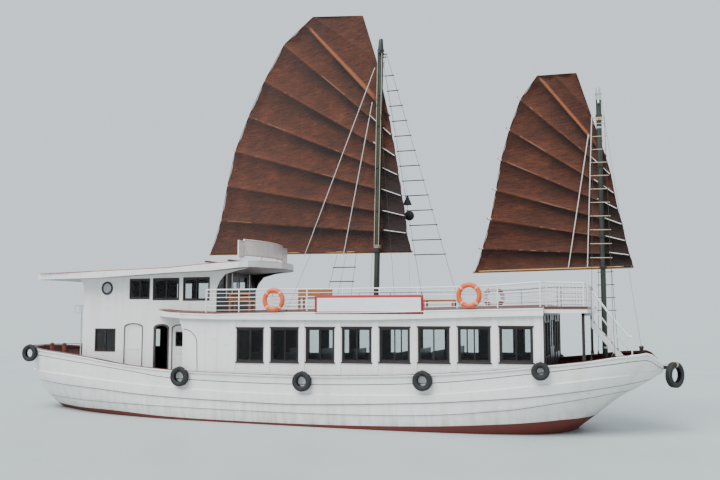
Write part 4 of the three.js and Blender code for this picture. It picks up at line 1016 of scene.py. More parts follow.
def cap_rail():
    """The rail on both bulwarks, which meets at the ends."""
    shape = Shape()
    brown = [x < CAP["brown_to"] for x in STATIONS]
    for side in SIDES.values():
        rings = []
        for x in STATIONS:
            outer = sheer_half(x) + CAP["outside"]
            inner = inner_half(x, sheer_half(x), CAP["inside"])
            top, low = sheer_z(x), sheer_z(x) - CAP["height"] + GAP
            section = [
                (outer - 0.008, low), (outer, low + 0.01), (outer, top - 0.02), (outer - 0.006, top - 0.006),
                (outer - 0.02, top), (inner, top), (inner, low),
            ]
            rings.append([(x, side * y, z) for y, z in section])
        shape.rings(rings, mark_at=lambda i, j: int(j in (3, 4, 5, 6) and brown[i] or j == 5))
    finishes = [hull_paint(), cap_varnish()]
    nodes = [f"cap_rail_{part}" for part in (*SIDES, "stern", "bow")]
    make("cap_rail_boards", shape, finishes, replaces=nodes, weld=True)


def propeller_blades():
    x, z, count = PROPELLER["x"], PROPELLER["z"], PROPELLER["steps"]
    shape = Shape()
    shape.spun([(0.03, -0.26), (0.06, -0.24), (0.08, -0.2), (0.08, -GAP)], (x, 0, z), X_AXIS, 24)
    shape.bar((x - 0.1, 0, z), (x + 0.6, 0, z), 0.035, 16)
    for blade in range(PROPELLER["blades"]):
        turn = Matrix.Rotation(blade * 2 * math.pi / PROPELLER["blades"], 4, "X")
        rings = []
        for i, r in enumerate(steps(PROPELLER["hub"], PROPELLER["tip"], count)):
            half = 0.115 * math.sin(math.pi * (0.22 + 0.74 * i / count)) ** 0.6
            pitch = math.radians(62 - 38 * i / count)
            along = Vector((-math.cos(pitch), math.sin(pitch), 0))
            thick = Vector((math.sin(pitch), math.cos(pitch), 0)) * (0.016 - 0.0015 * i)
            edge = [along * half, thick * 0.8, -along * half, -thick * 0.8]
            rings.append([Vector((x - 0.13, 0, z)) + turn @ (above(r) + point) for point in edge])
        shape.rings(rings)
    make("propeller_bronze", shape, worn("bronze"), "propeller", ["propeller"])


class JUNKBOAT_OT_hull(bpy.types.Operator):
    """Planks the hull, its bulwarks and cap rails, and dresses the decks and underwater gear"""

    bl_idname = "junkboat.hull"
    bl_label = "Hull and decks"

    def execute(self, context):
        hull_planking()
        for name, side in SIDES.items():
            bulwark(name, side)
        cap_rail()
        propeller_blades()
        dress("rudder", bottom_paint())
        dress("main_engine", worn("iron"))
        for part in ("aft", "saloon_aft", "saloon_forward", "forward"):
            dress(f"deck_{part}", deck_paint())
        dress("wheelhouse_floor", deck_paint())
        return {"FINISHED"}


# Fenders


def tyre(shape, centre, axis, radius, width=TYRE["width"]):
    """A worn car tyre with a grooved tread, open inside."""
    inner, half = radius - TYRE["wall"], width / 2
    tread = [(0.62, 0), (0.3, 0), (0.26, 1), (0.18, 1), (0.14, 0)]
    tread += [(-h, low) for h, low in reversed(tread)]
    depth = sizes().tread
    outside = [(inner, 0.62, 0), (inner + 0.03, 0.8, 0), (radius - 0.075, 1.0, 0), (radius - 0.03, 0.9, 0.3)]
    profile = [(r, h * half, cut) for r, h, cut in outside]
    profile.append((radius - 0.004, 0.74 * half, 1))
    profile += [(radius - depth * low, h * half, 1 - low) for h, low in tread]
    profile.append((radius - 0.004, -0.74 * half, 1))
    profile += [(r, -h * half, cut) for r, h, cut in reversed(outside)]
    cavity = [(inner + 0.012, -0.5), (radius - 0.08, -0.84), (radius - 0.035, -0.6)]
    profile += [(r, h * half, 0) for r, h in cavity]
    profile += [(r, -h * half, 0) for r, h in reversed(cavity)]
    shape.turned(profile, centre, axis, 84, notch=lambda i: depth if i % 3 == 0 else 0)


def loop(shape, centre, axis_a, axis_b, half_a, half_b, radius, count=28):
    """A rope loop about a centre, in the plane of two axes."""
    centre, a, b = Vector(centre), Vector(axis_a), Vector(axis_b)
    points = [centre + a * half_a * math.cos(t) + b * half_b * math.sin(t) for t in full_turn(count)]
    shape.tube(points, radius, 8, closed=True)


def hoop(shape, centre, reach, radius, count=28):
    """A level rope loop."""
    loop(shape, centre, X_AXIS, Y_AXIS, reach, reach, radius, count)


def hang(shape, tyre_centre, out, radius, anchor, width=TYRE["width"]):
    """Two rope turns round the top of a tyre, and the rope from them to its anchor."""
    centre, out = Vector(tyre_centre), Vector(out).normalized()
    across = out.cross(above(1))
    rope = sizes().rope
    top = centre + above(radius - TYRE["wall"] / 2)
    for shift in (-0.02, 0.02):
        loop(shape, top + across * shift, out, Z_AXIS, width / 2 + rope, TYRE["wall"] / 2 + rope, rope)
    start = top + above(TYRE["wall"] / 2 + rope) - out * width / 4
    anchor = Vector(anchor)
    shape.tube([start, start.lerp(anchor, 0.5) + above(0.01), anchor], rope, 8)


def side_fenders(name, side):
    tyres, ropes = Shape(), Shape()
    line = []
    for x, z, radius in FENDERS:
        cap = max(sheer_half(at) for at in (x - radius, x, x + radius)) + CAP["outside"]
        y = side * (cap + GAP + TYRE["width"] / 2)
        tyre(tyres, (x, y, z), Y_AXIS, radius)
        top, rope = sheer_z(x), sizes().rope
        hang(ropes, (x, y, z), (0, side, 0), radius, (x, side * (cap - 0.12), top + rope))
        loop(ropes, (x, side * (cap - 0.14), top - 0.03), Y_AXIS, Z_AXIS, 0.155, 0.045, rope)
        line.append((x, y, z + radius - LINE["below"]))
    run = Shape()
    run.tube(line, LINE["radius"], 8)
    make(f"fender_tyres_{name}", tyres, worn("tyre"), replaces=[f"tyres_{name}"])
    make(f"fender_ropes_{name}", ropes, worn("dark_rope"))
    make(f"fender_line_{name}", run, worn("white_rope"))


def stern_fenders():
    """A tyre on each quarter, and the line that runs round the stern between them."""
    tyres, ropes = Shape(), Shape()
    x, z, radius = (QUARTER_TYRE[key] for key in ("x", "z", "radius"))
    y = sheer_half(x + 0.8 * radius) + CAP["outside"] + GAP + QUARTER_TYRE["seat"]
    out = CAP["outside"] + QUARTER_TYRE["around"]
    bends = [(x, y), *((at, sheer_half(at) + out) for at in (-11.3, -11.45))]
    bends.append((-11.63, sheer_half(-11.6) + out))
    bends += [(at, -reach) for at, reach in reversed(bends)]
    ropes.tube([(at, reach, z + radius - LINE["below"]) for at, reach in bends], LINE["radius"], 8)
    for side in SIDES.values():
        tyre(tyres, (x, side * y, z), Y_AXIS, radius)
        anchor = (x, side * (sheer_half(x) - 0.1), sheer_z(x) + sizes().rope)
        hang(ropes, (x, side * y, z), (0, side, 0), radius, anchor)
    make("fender_tyres_stern", tyres, worn("tyre"), replaces=["tyres_stern"])
    make("fender_ropes_stern", ropes, worn("dark_rope"))


def bow_fender():
    bow, beam, ropes = Shape(), Shape(), Shape()
    turn = math.radians(90 - BOW_TYRE["turn"])
    axis = (-math.sin(turn), math.cos(turn), 0)
    centre = BOW_TYRE["centre"]
    tyre(bow, centre, axis, BOW_TYRE["radius"], BOW_TYRE["width"])
    hang(ropes, centre, axis, BOW_TYRE["radius"], BOW_TYRE["anchor"], BOW_TYRE["width"])
    beam.box(*BOW_TYRE["beam"])
    make("fender_tyre_bow", bow, worn("tyre"), replaces=["tyre_bow"])
    make("fender_beam_bow", beam, varnish(), round_edges=0.008)
    make("fender_ropes_bow", ropes, worn("rope"))


class JUNKBOAT_OT_fenders(bpy.types.Operator):
    """Hangs the tyres along the sides, at the stern and on the bow"""

    bl_idname = "junkboat.fenders"
    bl_label = "Tyre fenders"

    def execute(self, context):
        for name, side in SIDES.items():
            side_fenders(name, side)
        stern_fenders()
        bow_fender()
        return {"FINISHED"}


# Saloon


def window(frames, panes, place, outline, depth, lights=2):
    """A dark frame in an opening with sliding lights of glass."""
    (a0, b0), (a1, b1) = outline[0], outline[2]
    edge, sash, overlap = 0.045, sizes().sash, 0.04
    opening = rect(a0, a1, b0, b1)
    frames.border(place, opening, outline_inset(opening, edge), -0.012, depth)
    width = (a1 - a0 - 2 * edge + overlap * (lights - 1)) / lights
    for i in range(lights):
        left = a0 + edge + i * (width - overlap)
        near = 0.014 + 0.026 * (i % 2)
        outer = rect(left, left + width, b0 + edge, b1 - edge)
        frames.border(place, outer, outline_inset(outer, sash), near, near + 0.022)
        panes.panel(place, outline_inset(outer, sash - 0.004), near + 0.009, near + 0.014)


def glaze(part, frames, panes, end="", replaces=()):
    """Makes the pieces of a wall's windows."""
    make(f"{part}_frames{end}", frames, varnish(), replaces=replaces, round_edges=0.003)
    make(f"{part}_panes{end}", panes, window_glass())


def saloon_openings():
    for i in range(WINDOWS["count"]):
        x = WINDOWS["first"] + WINDOWS["pitch"] * i
        middle = x + WINDOWS["width"] / 2
        sill, head = (level + slope * (middle - at) for level, at, slope in WINDOWS["levels"])
        yield rect(x, x + WINDOWS["width"], sill, head)


def saloon_arc(name, place):
    """The dark line that bends down at the aft end of a side."""
    x, z, radius, foot = (ARC[key] for key in ("x", "z", "radius", "foot"))
    arc = [(x, z + radius)]
    arc += [(x + radius * math.sin(t), z + radius * math.cos(t)) for t in steps(0.25, 1.5, 12)]
    arc += [(x + radius, z - 0.1), (foot, sheer_z(foot) + 0.02)]
    curve = Shape()
    curve.tube([place(a, b, -0.002) for a, b in arc], 0.013, 8)
    make(f"saloon_arc_{name}", curve, worn("trim"))


def saloon_side(name, side):
    place = on_side(side, SALOON["half"])
    frames, panes, trim, boards = Shape(), Shape(), Shape(), Shape()
    openings = list(saloon_openings())
    for outline in openings:
        window(frames, panes, place, outline, WALL + 0.025)
    first, last = openings[0], openings[-1]
    rail = [(first[0][0], first[0][1] - 0.08), (last[1][0], last[1][1] - 0.08)]
    rail += [(last[1][0], last[1][1] + 0.02), (first[0][0], first[0][1] + 0.02)]
    frames.panel(place, rail, WALL + GAP, WALL + 0.04)
    glaze("saloon", frames, panes, f"_{name}", [f"saloon_windows_{name}"])
    gap = WINDOWS["pitch"] - WINDOWS["width"]
    for i in range(WINDOWS["count"] + 1):
        x = WINDOWS["first"] + WINDOWS["pitch"] * i - gap / 2
        foot = max(sheer_z(x - 0.09), sheer_z(x + 0.09)) + 0.004
        head = min(upper_top(x - 0.09), upper_top(x + 0.09)) - 0.066
        trim.panel(place, rect(x - 0.09, x + 0.09, foot, head), -0.02, -OFF_WALL)
    for x in STRIPS:
        strip = rect(x - 0.012, x + 0.012, sheer_z(x) + 0.006, upper_top(x) - 0.066)
        trim.panel(place, strip, -0.008, -OFF_WALL)
    for (a0, b0), _, (a1, b1), _ in openings:
        for low, high in ((b0 - 0.022, b0 + 0.02), (b1 - 0.02, b1 + 0.022)):
            boards.panel(place, rect(a0 - 0.03, a1 + 0.035, low, high), -0.03, -0.0125)
    saloon_arc(name, place)
    make(f"saloon_window_boards_{name}", boards, varnish(), round_edges=0.004)
    make(f"saloon_trim_{name}", trim, white_paint(), round_edges=0.004)
    dress(f"saloon_side_{name}", wall_paint(SALOON["half"]))


def saloon_front():
    place = on_front(SALOON["front"])
    frames, panes, posts = Shape(), Shape(), Shape()
    for near, far in FRONT["lights"]:
        for a, b in ((near, far), (-far, -near)):
            window(frames, panes, place, rect(a, b, *FRONT["light_z"]), WALL + 0.01)
    glaze("saloon_front", frames, panes)
    for y in FRONT["posts"]:
        posts.panel(place, rect(y - 0.03, y + 0.03, *FRONT["post_z"]), -0.025, -OFF_WALL)
    posts.panel(place, rect(*FRONT["beam"]), -0.03, -OFF_WALL)
    make("saloon_front_posts", posts, upright_varnish(), round_edges=0.004)
    dress("saloon_front", upright_varnish())
    dress("saloon_bulkhead", white_paint())


def hinge_pins(leaf, x, y, foot, head):
    for z in (foot + 0.18, head - 0.42):
        leaf.bar((x, y, z), (x, y, z + 0.12), 0.0043, 8)


def saloon_door(name, side):
    place = on_front(SALOON["front"])
    leaf, pane = Shape(), Shape()
    a, b = sorted((side * 0.003, side * (FRONT_DOOR["half"] - 0.005)))
    foot, head = FRONT_DOOR["foot"] + 0.005, FRONT_DOOR["head"] - 0.005
    outline = rect(a, b, foot, head)
    light = rect(a + 0.09, b - 0.09, foot + 0.75, head - 0.09)
    panel = rect(a + 0.09, b - 0.09, foot + 0.12, foot + 0.66)
    leaf.border(place, outline, rect(a + 0.09, b - 0.09, foot + 0.12, head - 0.09), 0.0, 0.04)
    leaf.panel(place, rect(a + 0.085, b - 0.085, foot + 0.66, foot + 0.75), 0.004, 0.036)
    leaf.panel(place, outline_inset(panel, -0.005), 0.012, 0.028)
    leaf.panel(place, outline_inset(panel, 0.07), 0.005, 0.035)
    pane.panel(place, outline_inset(light, -0.005), 0.017, 0.022)
    hinge_pins(leaf, SALOON["front"], side * 0.695, FRONT_DOOR["foot"], FRONT_DOOR["head"])
    body = f"saloon_door_{name}"
    make(f"door_leaf_{name}", leaf, upright_varnish(), body, [body], 0.003)
    make(f"door_pane_{name}", pane, window_glass(), body)


def saloon_seats():
    """Benches with backs across the saloon, seen through the windows."""
    shape = Shape()
    depth, leg = SEATS["depth"], SEATS["leg"]
    (under, seat), (low, top) = SEATS["seat"], SEATS["back"]
    for i in range(SEATS["count"]):
        x = SEATS["first"] + WINDOWS["pitch"] * i
        if abs(x - SEATS["mast"]) < SEATS["clear"]:
            continue
        floor = max(deck_z(x), deck_z(x + 0.5)) + 0.01
        for side in SIDES.values():
            y0, y1 = sorted(side * reach for reach in SEATS["y"])
            shape.box(x, x + depth, y0, y1, floor + under, floor + seat)
            shape.box(x, x + 0.05, y0, y1, floor + low, floor + top)
            for y in (y0 + 0.02, y1 - 0.08):
                shape.box(x, x + leg, y, y + leg, floor, floor + top)
                shape.box(x + SEATS["front_leg"], x + depth, y, y + leg, floor, floor + under)
    make("saloon_seats", shape, varnish(), round_edges=0.006)


class JUNKBOAT_OT_saloon(bpy.types.Operator):
    """Fits the saloon with windows, trim, doors and seats"""

    bl_idname = "junkboat.saloon"
    bl_label = "Saloon"

    def execute(self, context):
        for name, side in SIDES.items():
            saloon_side(name, side)
            saloon_door(name, side)
        saloon_front()
        saloon_seats()
        return {"FINISHED"}


# Upper deck


def rail_posts(name, side):
    for x, y in [*((x, side * y) for x, y in RAIL_POSTS), *((8.49, y) for y in RAIL_ENDS[name])]:
        edge = max(upper_top(x - 0.02), upper_top(x + 0.02))
        foot = edge if x < EXTENSION["start"] else EXTENSION["top"]
        yield x, y, foot, rail_top(x)


def rail(name, side):
    shape = Shape()
    posts = list(rail_posts(name, side))
    for x, y, foot, head in posts:
        shape.bar((x, y, foot + GAP), (x, y, head), 0.02, 12)
        shape.spun([(0.045, GAP), (0.045, 0.008), (0.024, 0.014)], (x, y, foot), Z_AXIS, 16)
    for level, radius in RAIL_BARS:
        shape.tube([(x, y, foot + (head - foot) * level) for x, y, foot, head in posts], radius, 10)
    across = len(RAIL_ENDS[name])
    corner, end = posts[-across - 2], posts[-across - 1]
    for t in steps(0, 1, 11)[1:-1]:
        x = corner[0] + (end[0] - corner[0]) * t
        head = corner[3] + (end[3] - corner[3]) * t
        shape.bar((x, corner[1], corner[2] + 0.06), (x, corner[1], head - 0.01), 0.006, 6)
    make(f"rail_tubes_{name}", shape, white_paint(), replaces=[f"rail_{name}"])


def life_ring(name, x, y, z, striped):
    """An orange ring with pale bands, or a white one striped with red."""
    shell, bands, rope = Shape(), Shape(), Shape()
    width = 0.3 if striped else 0.09

    def at(t, reach=RING["reach"]):
        return (x + reach * math.cos(t), y, z + reach * math.sin(t))

    shell.tube([at(t) for t in full_turn(64)], RING["radius"], 20, closed=True)
    outside = RING["reach"] + RING["radius"] + 0.006
    for quarter in range(4):
        middle = math.pi / 4 + quarter * math.pi / 2
        bands.tube([at(t) for t in steps(middle - width, middle + width, 8)], RING["radius"] + 0.003, 20)
        sweep = enumerate(steps(middle, middle + math.pi / 2, 12))
        rope.tube([at(t, outside + 0.012 * math.sin(math.pi * i / 12)) for i, t in sweep], 0.005, 6)
    make(f"life_ring_{name}", shell, white_paint() if striped else worn("ring"))
    make(f"life_ring_bands_{name}", bands, worn("border" if striped else "ring_bands"))
    make(f"life_ring_rope_{name}", rope, worn("rope"))


def banner():
    """A blank banner laced to the rail, with a red border and slight waves."""
    x0, x1 = BANNER["x"]
    z0, z1 = BANNER["z"]
    edge = BANNER["border"]
    xs = [x0, *steps(x0 + edge, x1 - edge, 60), x1]
    zs = [z0, *steps(z0 + edge, z1 - edge, 12), z1]

    def wave(x, z):
        hem = math.sin(math.pi * (x - x0) / (x1 - x0)) * math.sin(math.pi * (z - z0) / (z1 - z0))
        return BANNER["y"] - 0.012 * hem * ripple(x * 2.1, z * 3.0, 4.0)

    shape = Shape()
    points = [(x, wave(x, z), z) for x in xs for z in zs]
    rows = len(zs)
    faces = []
    marks = []
    for i in range(len(xs) - 1):
        for j in range(rows - 1):
            near, far = i * rows + j, (i + 1) * rows + j
            faces.append((near, far, far + 1, near + 1))
            marks.append(int(i in (0, len(xs) - 2) or j in (0, rows - 2)))
    shape.add(points, faces, marks)
    cloth = make("banner_sheet", shape, [plain_cloth(), worn("border")], replaces=["banner"])
    thicken(cloth, 0.002)
    ties = Shape()
    for x in steps(x0 + 0.05, x1 - 0.05, 6):
        for z in (z0 + 0.025, z1 - 0.025):
            loop(ties, (x, -2.47, z), Y_AXIS, Z_AXIS, 0.04, 0.02, 0.004, 14)
    lacing = make("banner_ties", ties, worn("rope"))


def thicken(piece, thickness):
    solid = piece.modifiers.new("Cloth thickness", "SOLIDIFY")
    solid.thickness = thickness
    solid.offset = 0


def deck_surface(x, y):
    return upper_top(x) + linear(DECK_CAMBER)(abs(y))


def bench(name, x0, x1, y0, y1, seat, back):
    shape = Shape()
    for x in (x0, x1 - 0.06):
        for y in (y0, y1 - 0.06):
            near = y + 0.06 if y < 0 else y
            foot = max(deck_surface(x, near), deck_surface(x + 0.06, near)) + GAP
            shape.box(x, x + 0.06, y, y + 0.06, foot, seat - 0.02)
    slats = max(3, round((y1 - y0) / 0.11))
    width = (y1 - y0) / slats
    for i in range(slats):
        shape.box(x0, x1, y0 + i * width + 0.006, y0 + (i + 1) * width - 0.006, seat - 0.025, seat)
    shape.box(x0, x1, y0 + 0.01, y1 - 0.01, seat - 0.05, seat - 0.025)
    if back > seat:
        for z in steps(seat + 0.03, back - 0.09, max(1, round((back - seat) / 0.13))):
            shape.box(x0, x1, y0 + 0.005, y0 + 0.03, z, z + 0.08)
        for x in (x0 + 0.02, x1 - 0.07):
            shape.box(x, x + 0.05, y0, y0 + 0.04, seat - 0.05, back)
    make(f"{name}_slats", shape, bench_varnish(), replaces=[name], round_edges=0.004)


def stairs():
    x, z, slope, depth = STAIRS["x"], STAIRS["z"], STAIRS["slope"], STAIRS["depth"]
    start, foot = STAIRS["start"], STAIRS["foot"]

    def height(at):
        return z + (at - x) * slope

    def reach(at):
        return x + (at - z) / slope

    outline = [
        (start, height(start) - depth), (reach(foot + depth), foot), (reach(foot - depth), foot),
        (start, height(start) + depth),
    ]
    outer, inner = STAIRS["y"]
    sides, treads = Shape(), Shape()
    for y0, y1 in (outer, inner):
        sides.panel(lambda a, b, d, y0=y0, y1=y1: (a, (y0, y1)[d], b), outline, 0, 1)
        middle = (y0 + y1) / 2
        for at, head in (HANDRAIL[0], HANDRAIL[1], HANDRAIL[3]):
            sides.bar((at, middle, max(height(at), foot + 0.02)), (at, middle, head), 0.018, 12)
        sides.tube([(at, middle, level) for at, level in HANDRAIL], 0.02, 12)
        sides.tube([(at, middle, (height(at) + level) / 2 + 0.04) for at, level in HANDRAIL[:3]], 0.01, 8)
    half = TREADS["half"]
    y0, y1 = outer[1] - 0.005, inner[0] + 0.005
    for i in range(TREADS["count"]):
        level = TREADS["first"] + TREADS["step"] * i
        back = max(reach(level) - half, start)
        treads.box(back, reach(level) + half, y0, y1, level - 0.015, level + 0.015)
    make("stair_sides", sides, white_paint(), replaces=["stairs"], round_edges=0.004)
    make("stair_treads", treads, varnish(), round_edges=0.004)


def foredeck_posts():
    shape = Shape()
    (x0, x1), (y0, y1) = FOREDECK_POST["x"], FOREDECK_POST["y"]
    foot, head = sheer_z(x1) + 0.004, EXTENSION["bottom"] - GAP
    for a, b in ((y0, y1), (-y1, -y0)):
        shape.box(x0, x1, a, b, foot, head)
        shape.box(x0 - 0.01, x1 + 0.01, a - 0.01, b + 0.01, foot, foot + 0.12)
    shape.box(x0, x1, -y1, y1, head - 0.08, head)
    make("foredeck_posts", shape, upright_varnish(), ROOT, ["foredeck_frame"], 0.006)


def deck_edges():
    """Mouldings under the lip of the upper deck, and the red-brown edge of its forward landing."""
    white, brown = Shape(), Shape()
    xs = steps(*DECK_EDGE["x"], 60)
    foot, head = DECK_EDGE["z"]
    for side in SIDES.values():
        white.tube([(x, side * DECK_EDGE["white"], upper_top(x) - 0.03) for x in xs], 0.012, 8)
        brown.tube([(x, side * DECK_EDGE["brown"], upper_top(x) + 0.018) for x in xs], 0.02, 8)
    half, start, front = EXTENSION["half"], EXTENSION["start"] + 0.02, EXTENSION["front"]
    for side in SIDES.values():
        y0, y1 = sorted((side * half, side * (half + 0.012)))
        brown.box(start, front, y0, y1, foot, head)
    brown.box(front, front + 0.012, -half, half, foot, head)
    make("deck_edge_moulding", white, white_paint())
    make("deck_edge_boards", brown, cap_varnish())


class JUNKBOAT_OT_upper_deck(bpy.types.Operator):
    """Furnishes the upper deck with rails, rings, banner, benches and stairs"""

    bl_idname = "junkboat.upper_deck"
    bl_label = "Upper deck"

    def execute(self, context):
        for name, side in SIDES.items():
            rail(name, side)
            for i, (x, z) in enumerate(RINGS[name]):
                life_ring(f"{name}_{i + 1}", x, side * RING["y"], z, name == "port")
        banner()
        for name, numbers in BENCHES.items():
            bench(name, *numbers)
        stairs()
        foredeck_posts()
        deck_edges()
        dress("upper_deck", upper_deck_paint())
        return {"FINISHED"}


# Aft house and wheelhouse


def door_foot(x):
    return deck_z(x) + 0.06


def house_side(name, side):
    place = on_side(side, HOUSE["half"])
    frames, panes, trim = Shape(), Shape(), Shape()
    for x0, x1, sill, head in HOUSE_WINDOWS:
        window(frames, panes, place, rect(x0, x1, sill, head), WALL + 0.01)
    glaze("house", frames, panes, f"_{name}")
    for x0, x1, head, hinge in SIDE_DOORS.values():
        opening = arch(x0, x1, door_foot(x0), head)
        trim.border(place, outline_inset(opening, -0.03), opening, -0.016, -OFF_WALL)
        if hinge is None:
            trim.border(place, outline_inset(opening, 0.001), outline_inset(opening, 0.03), 0.0, WALL)
    make(f"house_mouldings_{name}", trim, worn("trim"))
    badge, disc = Shape(), Shape()
    inner, outer = BADGE["inner"], BADGE["outer"]
    centre, inwards = (BADGE["x"], side * (HOUSE["half"] + 0.001), BADGE["z"]), (0, -side, 0)
    rows = [(inner, -0.02, 0), (outer, -0.02, 0), (outer, 0.0, 0), (inner, 0.0, 0)]
    badge.turned(rows, centre, inwards, 48)
    disc.spun([(inner - 0.001, -0.002), (inner - 0.001, -0.008), (0.12, -0.012)], centre, inwards, 48)
    make(f"house_badge_ring_{name}", badge, varnish(), round_edges=0.003)
    make(f"house_badge_disc_{name}", disc, worn("badge"))
    dress(f"house_side_{name}", wall_paint(HOUSE["half"]))


def side_door(which, name, side):
    x0, x1, head, hinge = SIDE_DOORS[which]
    place = on_side(side, HOUSE["half"])
    foot = door_foot(x0)
    outline = arch(x0 + 0.005, x1 - 0.005, foot + 0.005, head - 0.005)
    body = f"side_door_{which}_{name}"
    leaf = Shape()
    leaf.panel(place, outline_inset(outline, 0.05), 0.03, 0.05)
    leaf.border(place, outline, outline_inset(outline, 0.085), 0.02, 0.06)
    leaf.panel(place, rect(x0 + 0.08, x1 - 0.08, foot + 0.8, foot + 0.89), 0.022, 0.058)
    hinge_pins(leaf, hinge, side * (HOUSE["half"] - WALL), foot, head)
    make(f"arched_leaf_{which}_{name}", leaf, white_paint(), body, [body], 0.003)
    if which == "forward":
        pane, sash = Shape(), Shape()
        light = rect(*DOOR_LIGHT)
        sash.border(place, outline_inset(light, -0.03), light, 0.018, 0.03)
        pane.panel(place, light, 0.024, 0.03)
        make(f"arched_leaf_sash_{name}", sash, varnish(), body)
        make(f"arched_leaf_pane_{name}", pane, window_glass(), body)


def wheelhouse():
    place = on_front(HOUSE["front"])
    frames, panes, posts = Shape(), Shape(), Shape()
    for a, b in WHEELHOUSE["lights"]:
        outline = rect(a, b, *WHEELHOUSE["light_z"])
        window(frames, panes, place, outline, WALL + 0.01, 2 if b - a > WHEELHOUSE["double"] else 1)
    glaze("wheelhouse", frames, panes)
    for y in WHEELHOUSE["posts"]:
        posts.panel(place, rect(y - 0.03, y + 0.03, *WHEELHOUSE["post_z"]), -0.03, -OFF_WALL)
    make("wheelhouse_posts", posts, white_paint(), round_edges=0.004)
    dress("wheelhouse_front", wall_paint(HOUSE["half"] + 1))
    dress("house_back", white_paint())
    dress("wheelhouse_roof", roof_paint())


def helm():
    """The steering wheel on its stand in the wheelhouse."""
    wheel, stand = Shape(), Shape()
    x, z = HELM["x"], HELM["z"]

    def at(t, reach):
        return (x, reach * math.cos(t), z + reach * math.sin(t))

    wheel.tube([at(t, HELM["radius"]) for t in full_turn(40)], 0.016, 10, closed=True)
    for t in full_turn(8):
        wheel.bar((x, 0.0, z), at(t, HELM["spoke"]), 0.011, 8)
    wheel.spun([(0.06, -0.03), (0.07, 0.0), (0.06, 0.03)], (x, 0, z), X_AXIS, 24)
    stand.box(*HELM["stand"])
    stand.bar((x, 0, z), (HELM["stand"][1], 0, z), 0.03, 12)
    make("helm_wheel", wheel, bench_varnish())
    make("helm_stand", stand, varnish(), round_edges=0.008)


def bow_line(y):
    return SIGN["x"] + SIGN["bow"] * (1 - (y / SIGN["half"]) ** 2)


def roof_sign():
    """A blank bowed board between two straight wings, on short legs."""
    board, rim = Shape(), Shape()
    front, half, thickness = SIGN["x"], SIGN["half"], SIGN["thickness"]
    (foot, head), (low, high) = SIGN["board"], SIGN["wing_z"]
    ys = steps(-half, half, 24)
    outline = [(bow_line(y), y) for y in ys] + [(bow_line(y) - thickness, y) for y in reversed(ys)]
    board.panel(on_floor(0), outline, -head, -foot)
    for z in (foot + 0.03, head - 0.03):
        rim.tube([(bow_line(y) + 0.004, y, z) for y in ys], 0.02, 8)
    for side in SIDES.values():
        inner, outer = (side * reach for reach in SIGN["wing"])
        y0, y1 = sorted((inner, outer))
        board.box(front - thickness, front, y0, y1, low, high)
        wing = rect(y0, y1, low, high)
        rim.border(lambda a, b, d: (front + d, a, b), wing, outline_inset(wing, 0.05), 0.0, 0.012)
        y, z = SIGN["scroll"]
        scroll = []
        for t in steps(0, 8, 40):
            across, up = (0.13 - 0.014 * t) * math.cos(t), (0.17 - 0.019 * t) * math.sin(t)
            scroll.append((front + 0.004, side * (y + across), z + up))
        rim.tube(scroll, 0.012, 6)
        rim.bar((front + 0.002, inner, foot), (front + 0.002, inner, head), 0.02, 8)
    for y in SIGN["legs"]:
        x = (front if abs(y) > half else bow_line(y)) - 0.02
        under = roof_surface(x + 0.02, abs(y) - 0.02) + GAP
        board.box(x - 0.02, x + 0.02, y - 0.02, y + 0.02, under, foot + 0.02)
    make("roof_sign_board", board, white_paint(), replaces=["roof_sign"], round_edges=0.005)
    make("roof_sign_rim", rim, worn("pale_trim"))


def roof_trim():
    """The roof's red rim, and two brown poles that lie across it."""
    poles, rim = Shape(), Shape()
    for side in SIDES.values():
        rim.tube([(x, side * 1.94, roof_edge(x) + 0.006) for x in ROOF_RIM], 0.016, 8)
    make("roof_rim", rim, worn("roof_rim"))
    for x, y0, y1 in ROOF_POLES:
        level = max(roof_surface(x, y) for y in (0.0, y0, y1))
        poles.box(x - 0.05, x + 0.05, y0, y1, level + 0.001, level + 0.05)
    make("roof_poles", poles, varnish(), round_edges=0.008)


def stern_rack():
    """The white rack on a pole at the stern."""
    rack = Shape()
    (x0, x1), half, pole_x = RACK["x"], RACK["half"], RACK["pole"]
    for z in RACK["levels"]:
        for y in (-half, half):
            rack.bar((x0, y, z), (x1, y, z), 0.012, 8)
        for x in (x0, (x0 + x1) / 2, x1):
            rack.bar((x, -half, z), (x, half, z), 0.012, 8)
    low, high = RACK["legs"]
    for x in (x0, x1):
        for y in (-half, half):
            rack.bar((x, y, low), (x, y, high), 0.014, 8)
    rack.bar((pole_x, 0, deck_z(pole_x)), (pole_x, 0, RACK["levels"][0]), 0.022, 12)
    make("stern_rack", rack, white_paint())


class JUNKBOAT_OT_house(bpy.types.Operator):
    """Fits the aft house and wheelhouse with windows, arched doors, roof and sign"""

    bl_idname = "junkboat.house"
    bl_label = "Aft house and wheelhouse"

    def execute(self, context):
        for name, side in SIDES.items():
            house_side(name, side)
            for which in ("aft", "forward"):
                side_door(which, name, side)
        wheelhouse()
        helm()
        roof_sign()
        roof_trim()
        stern_rack()
        return {"FINISHED"}


# Masts and standing rigging


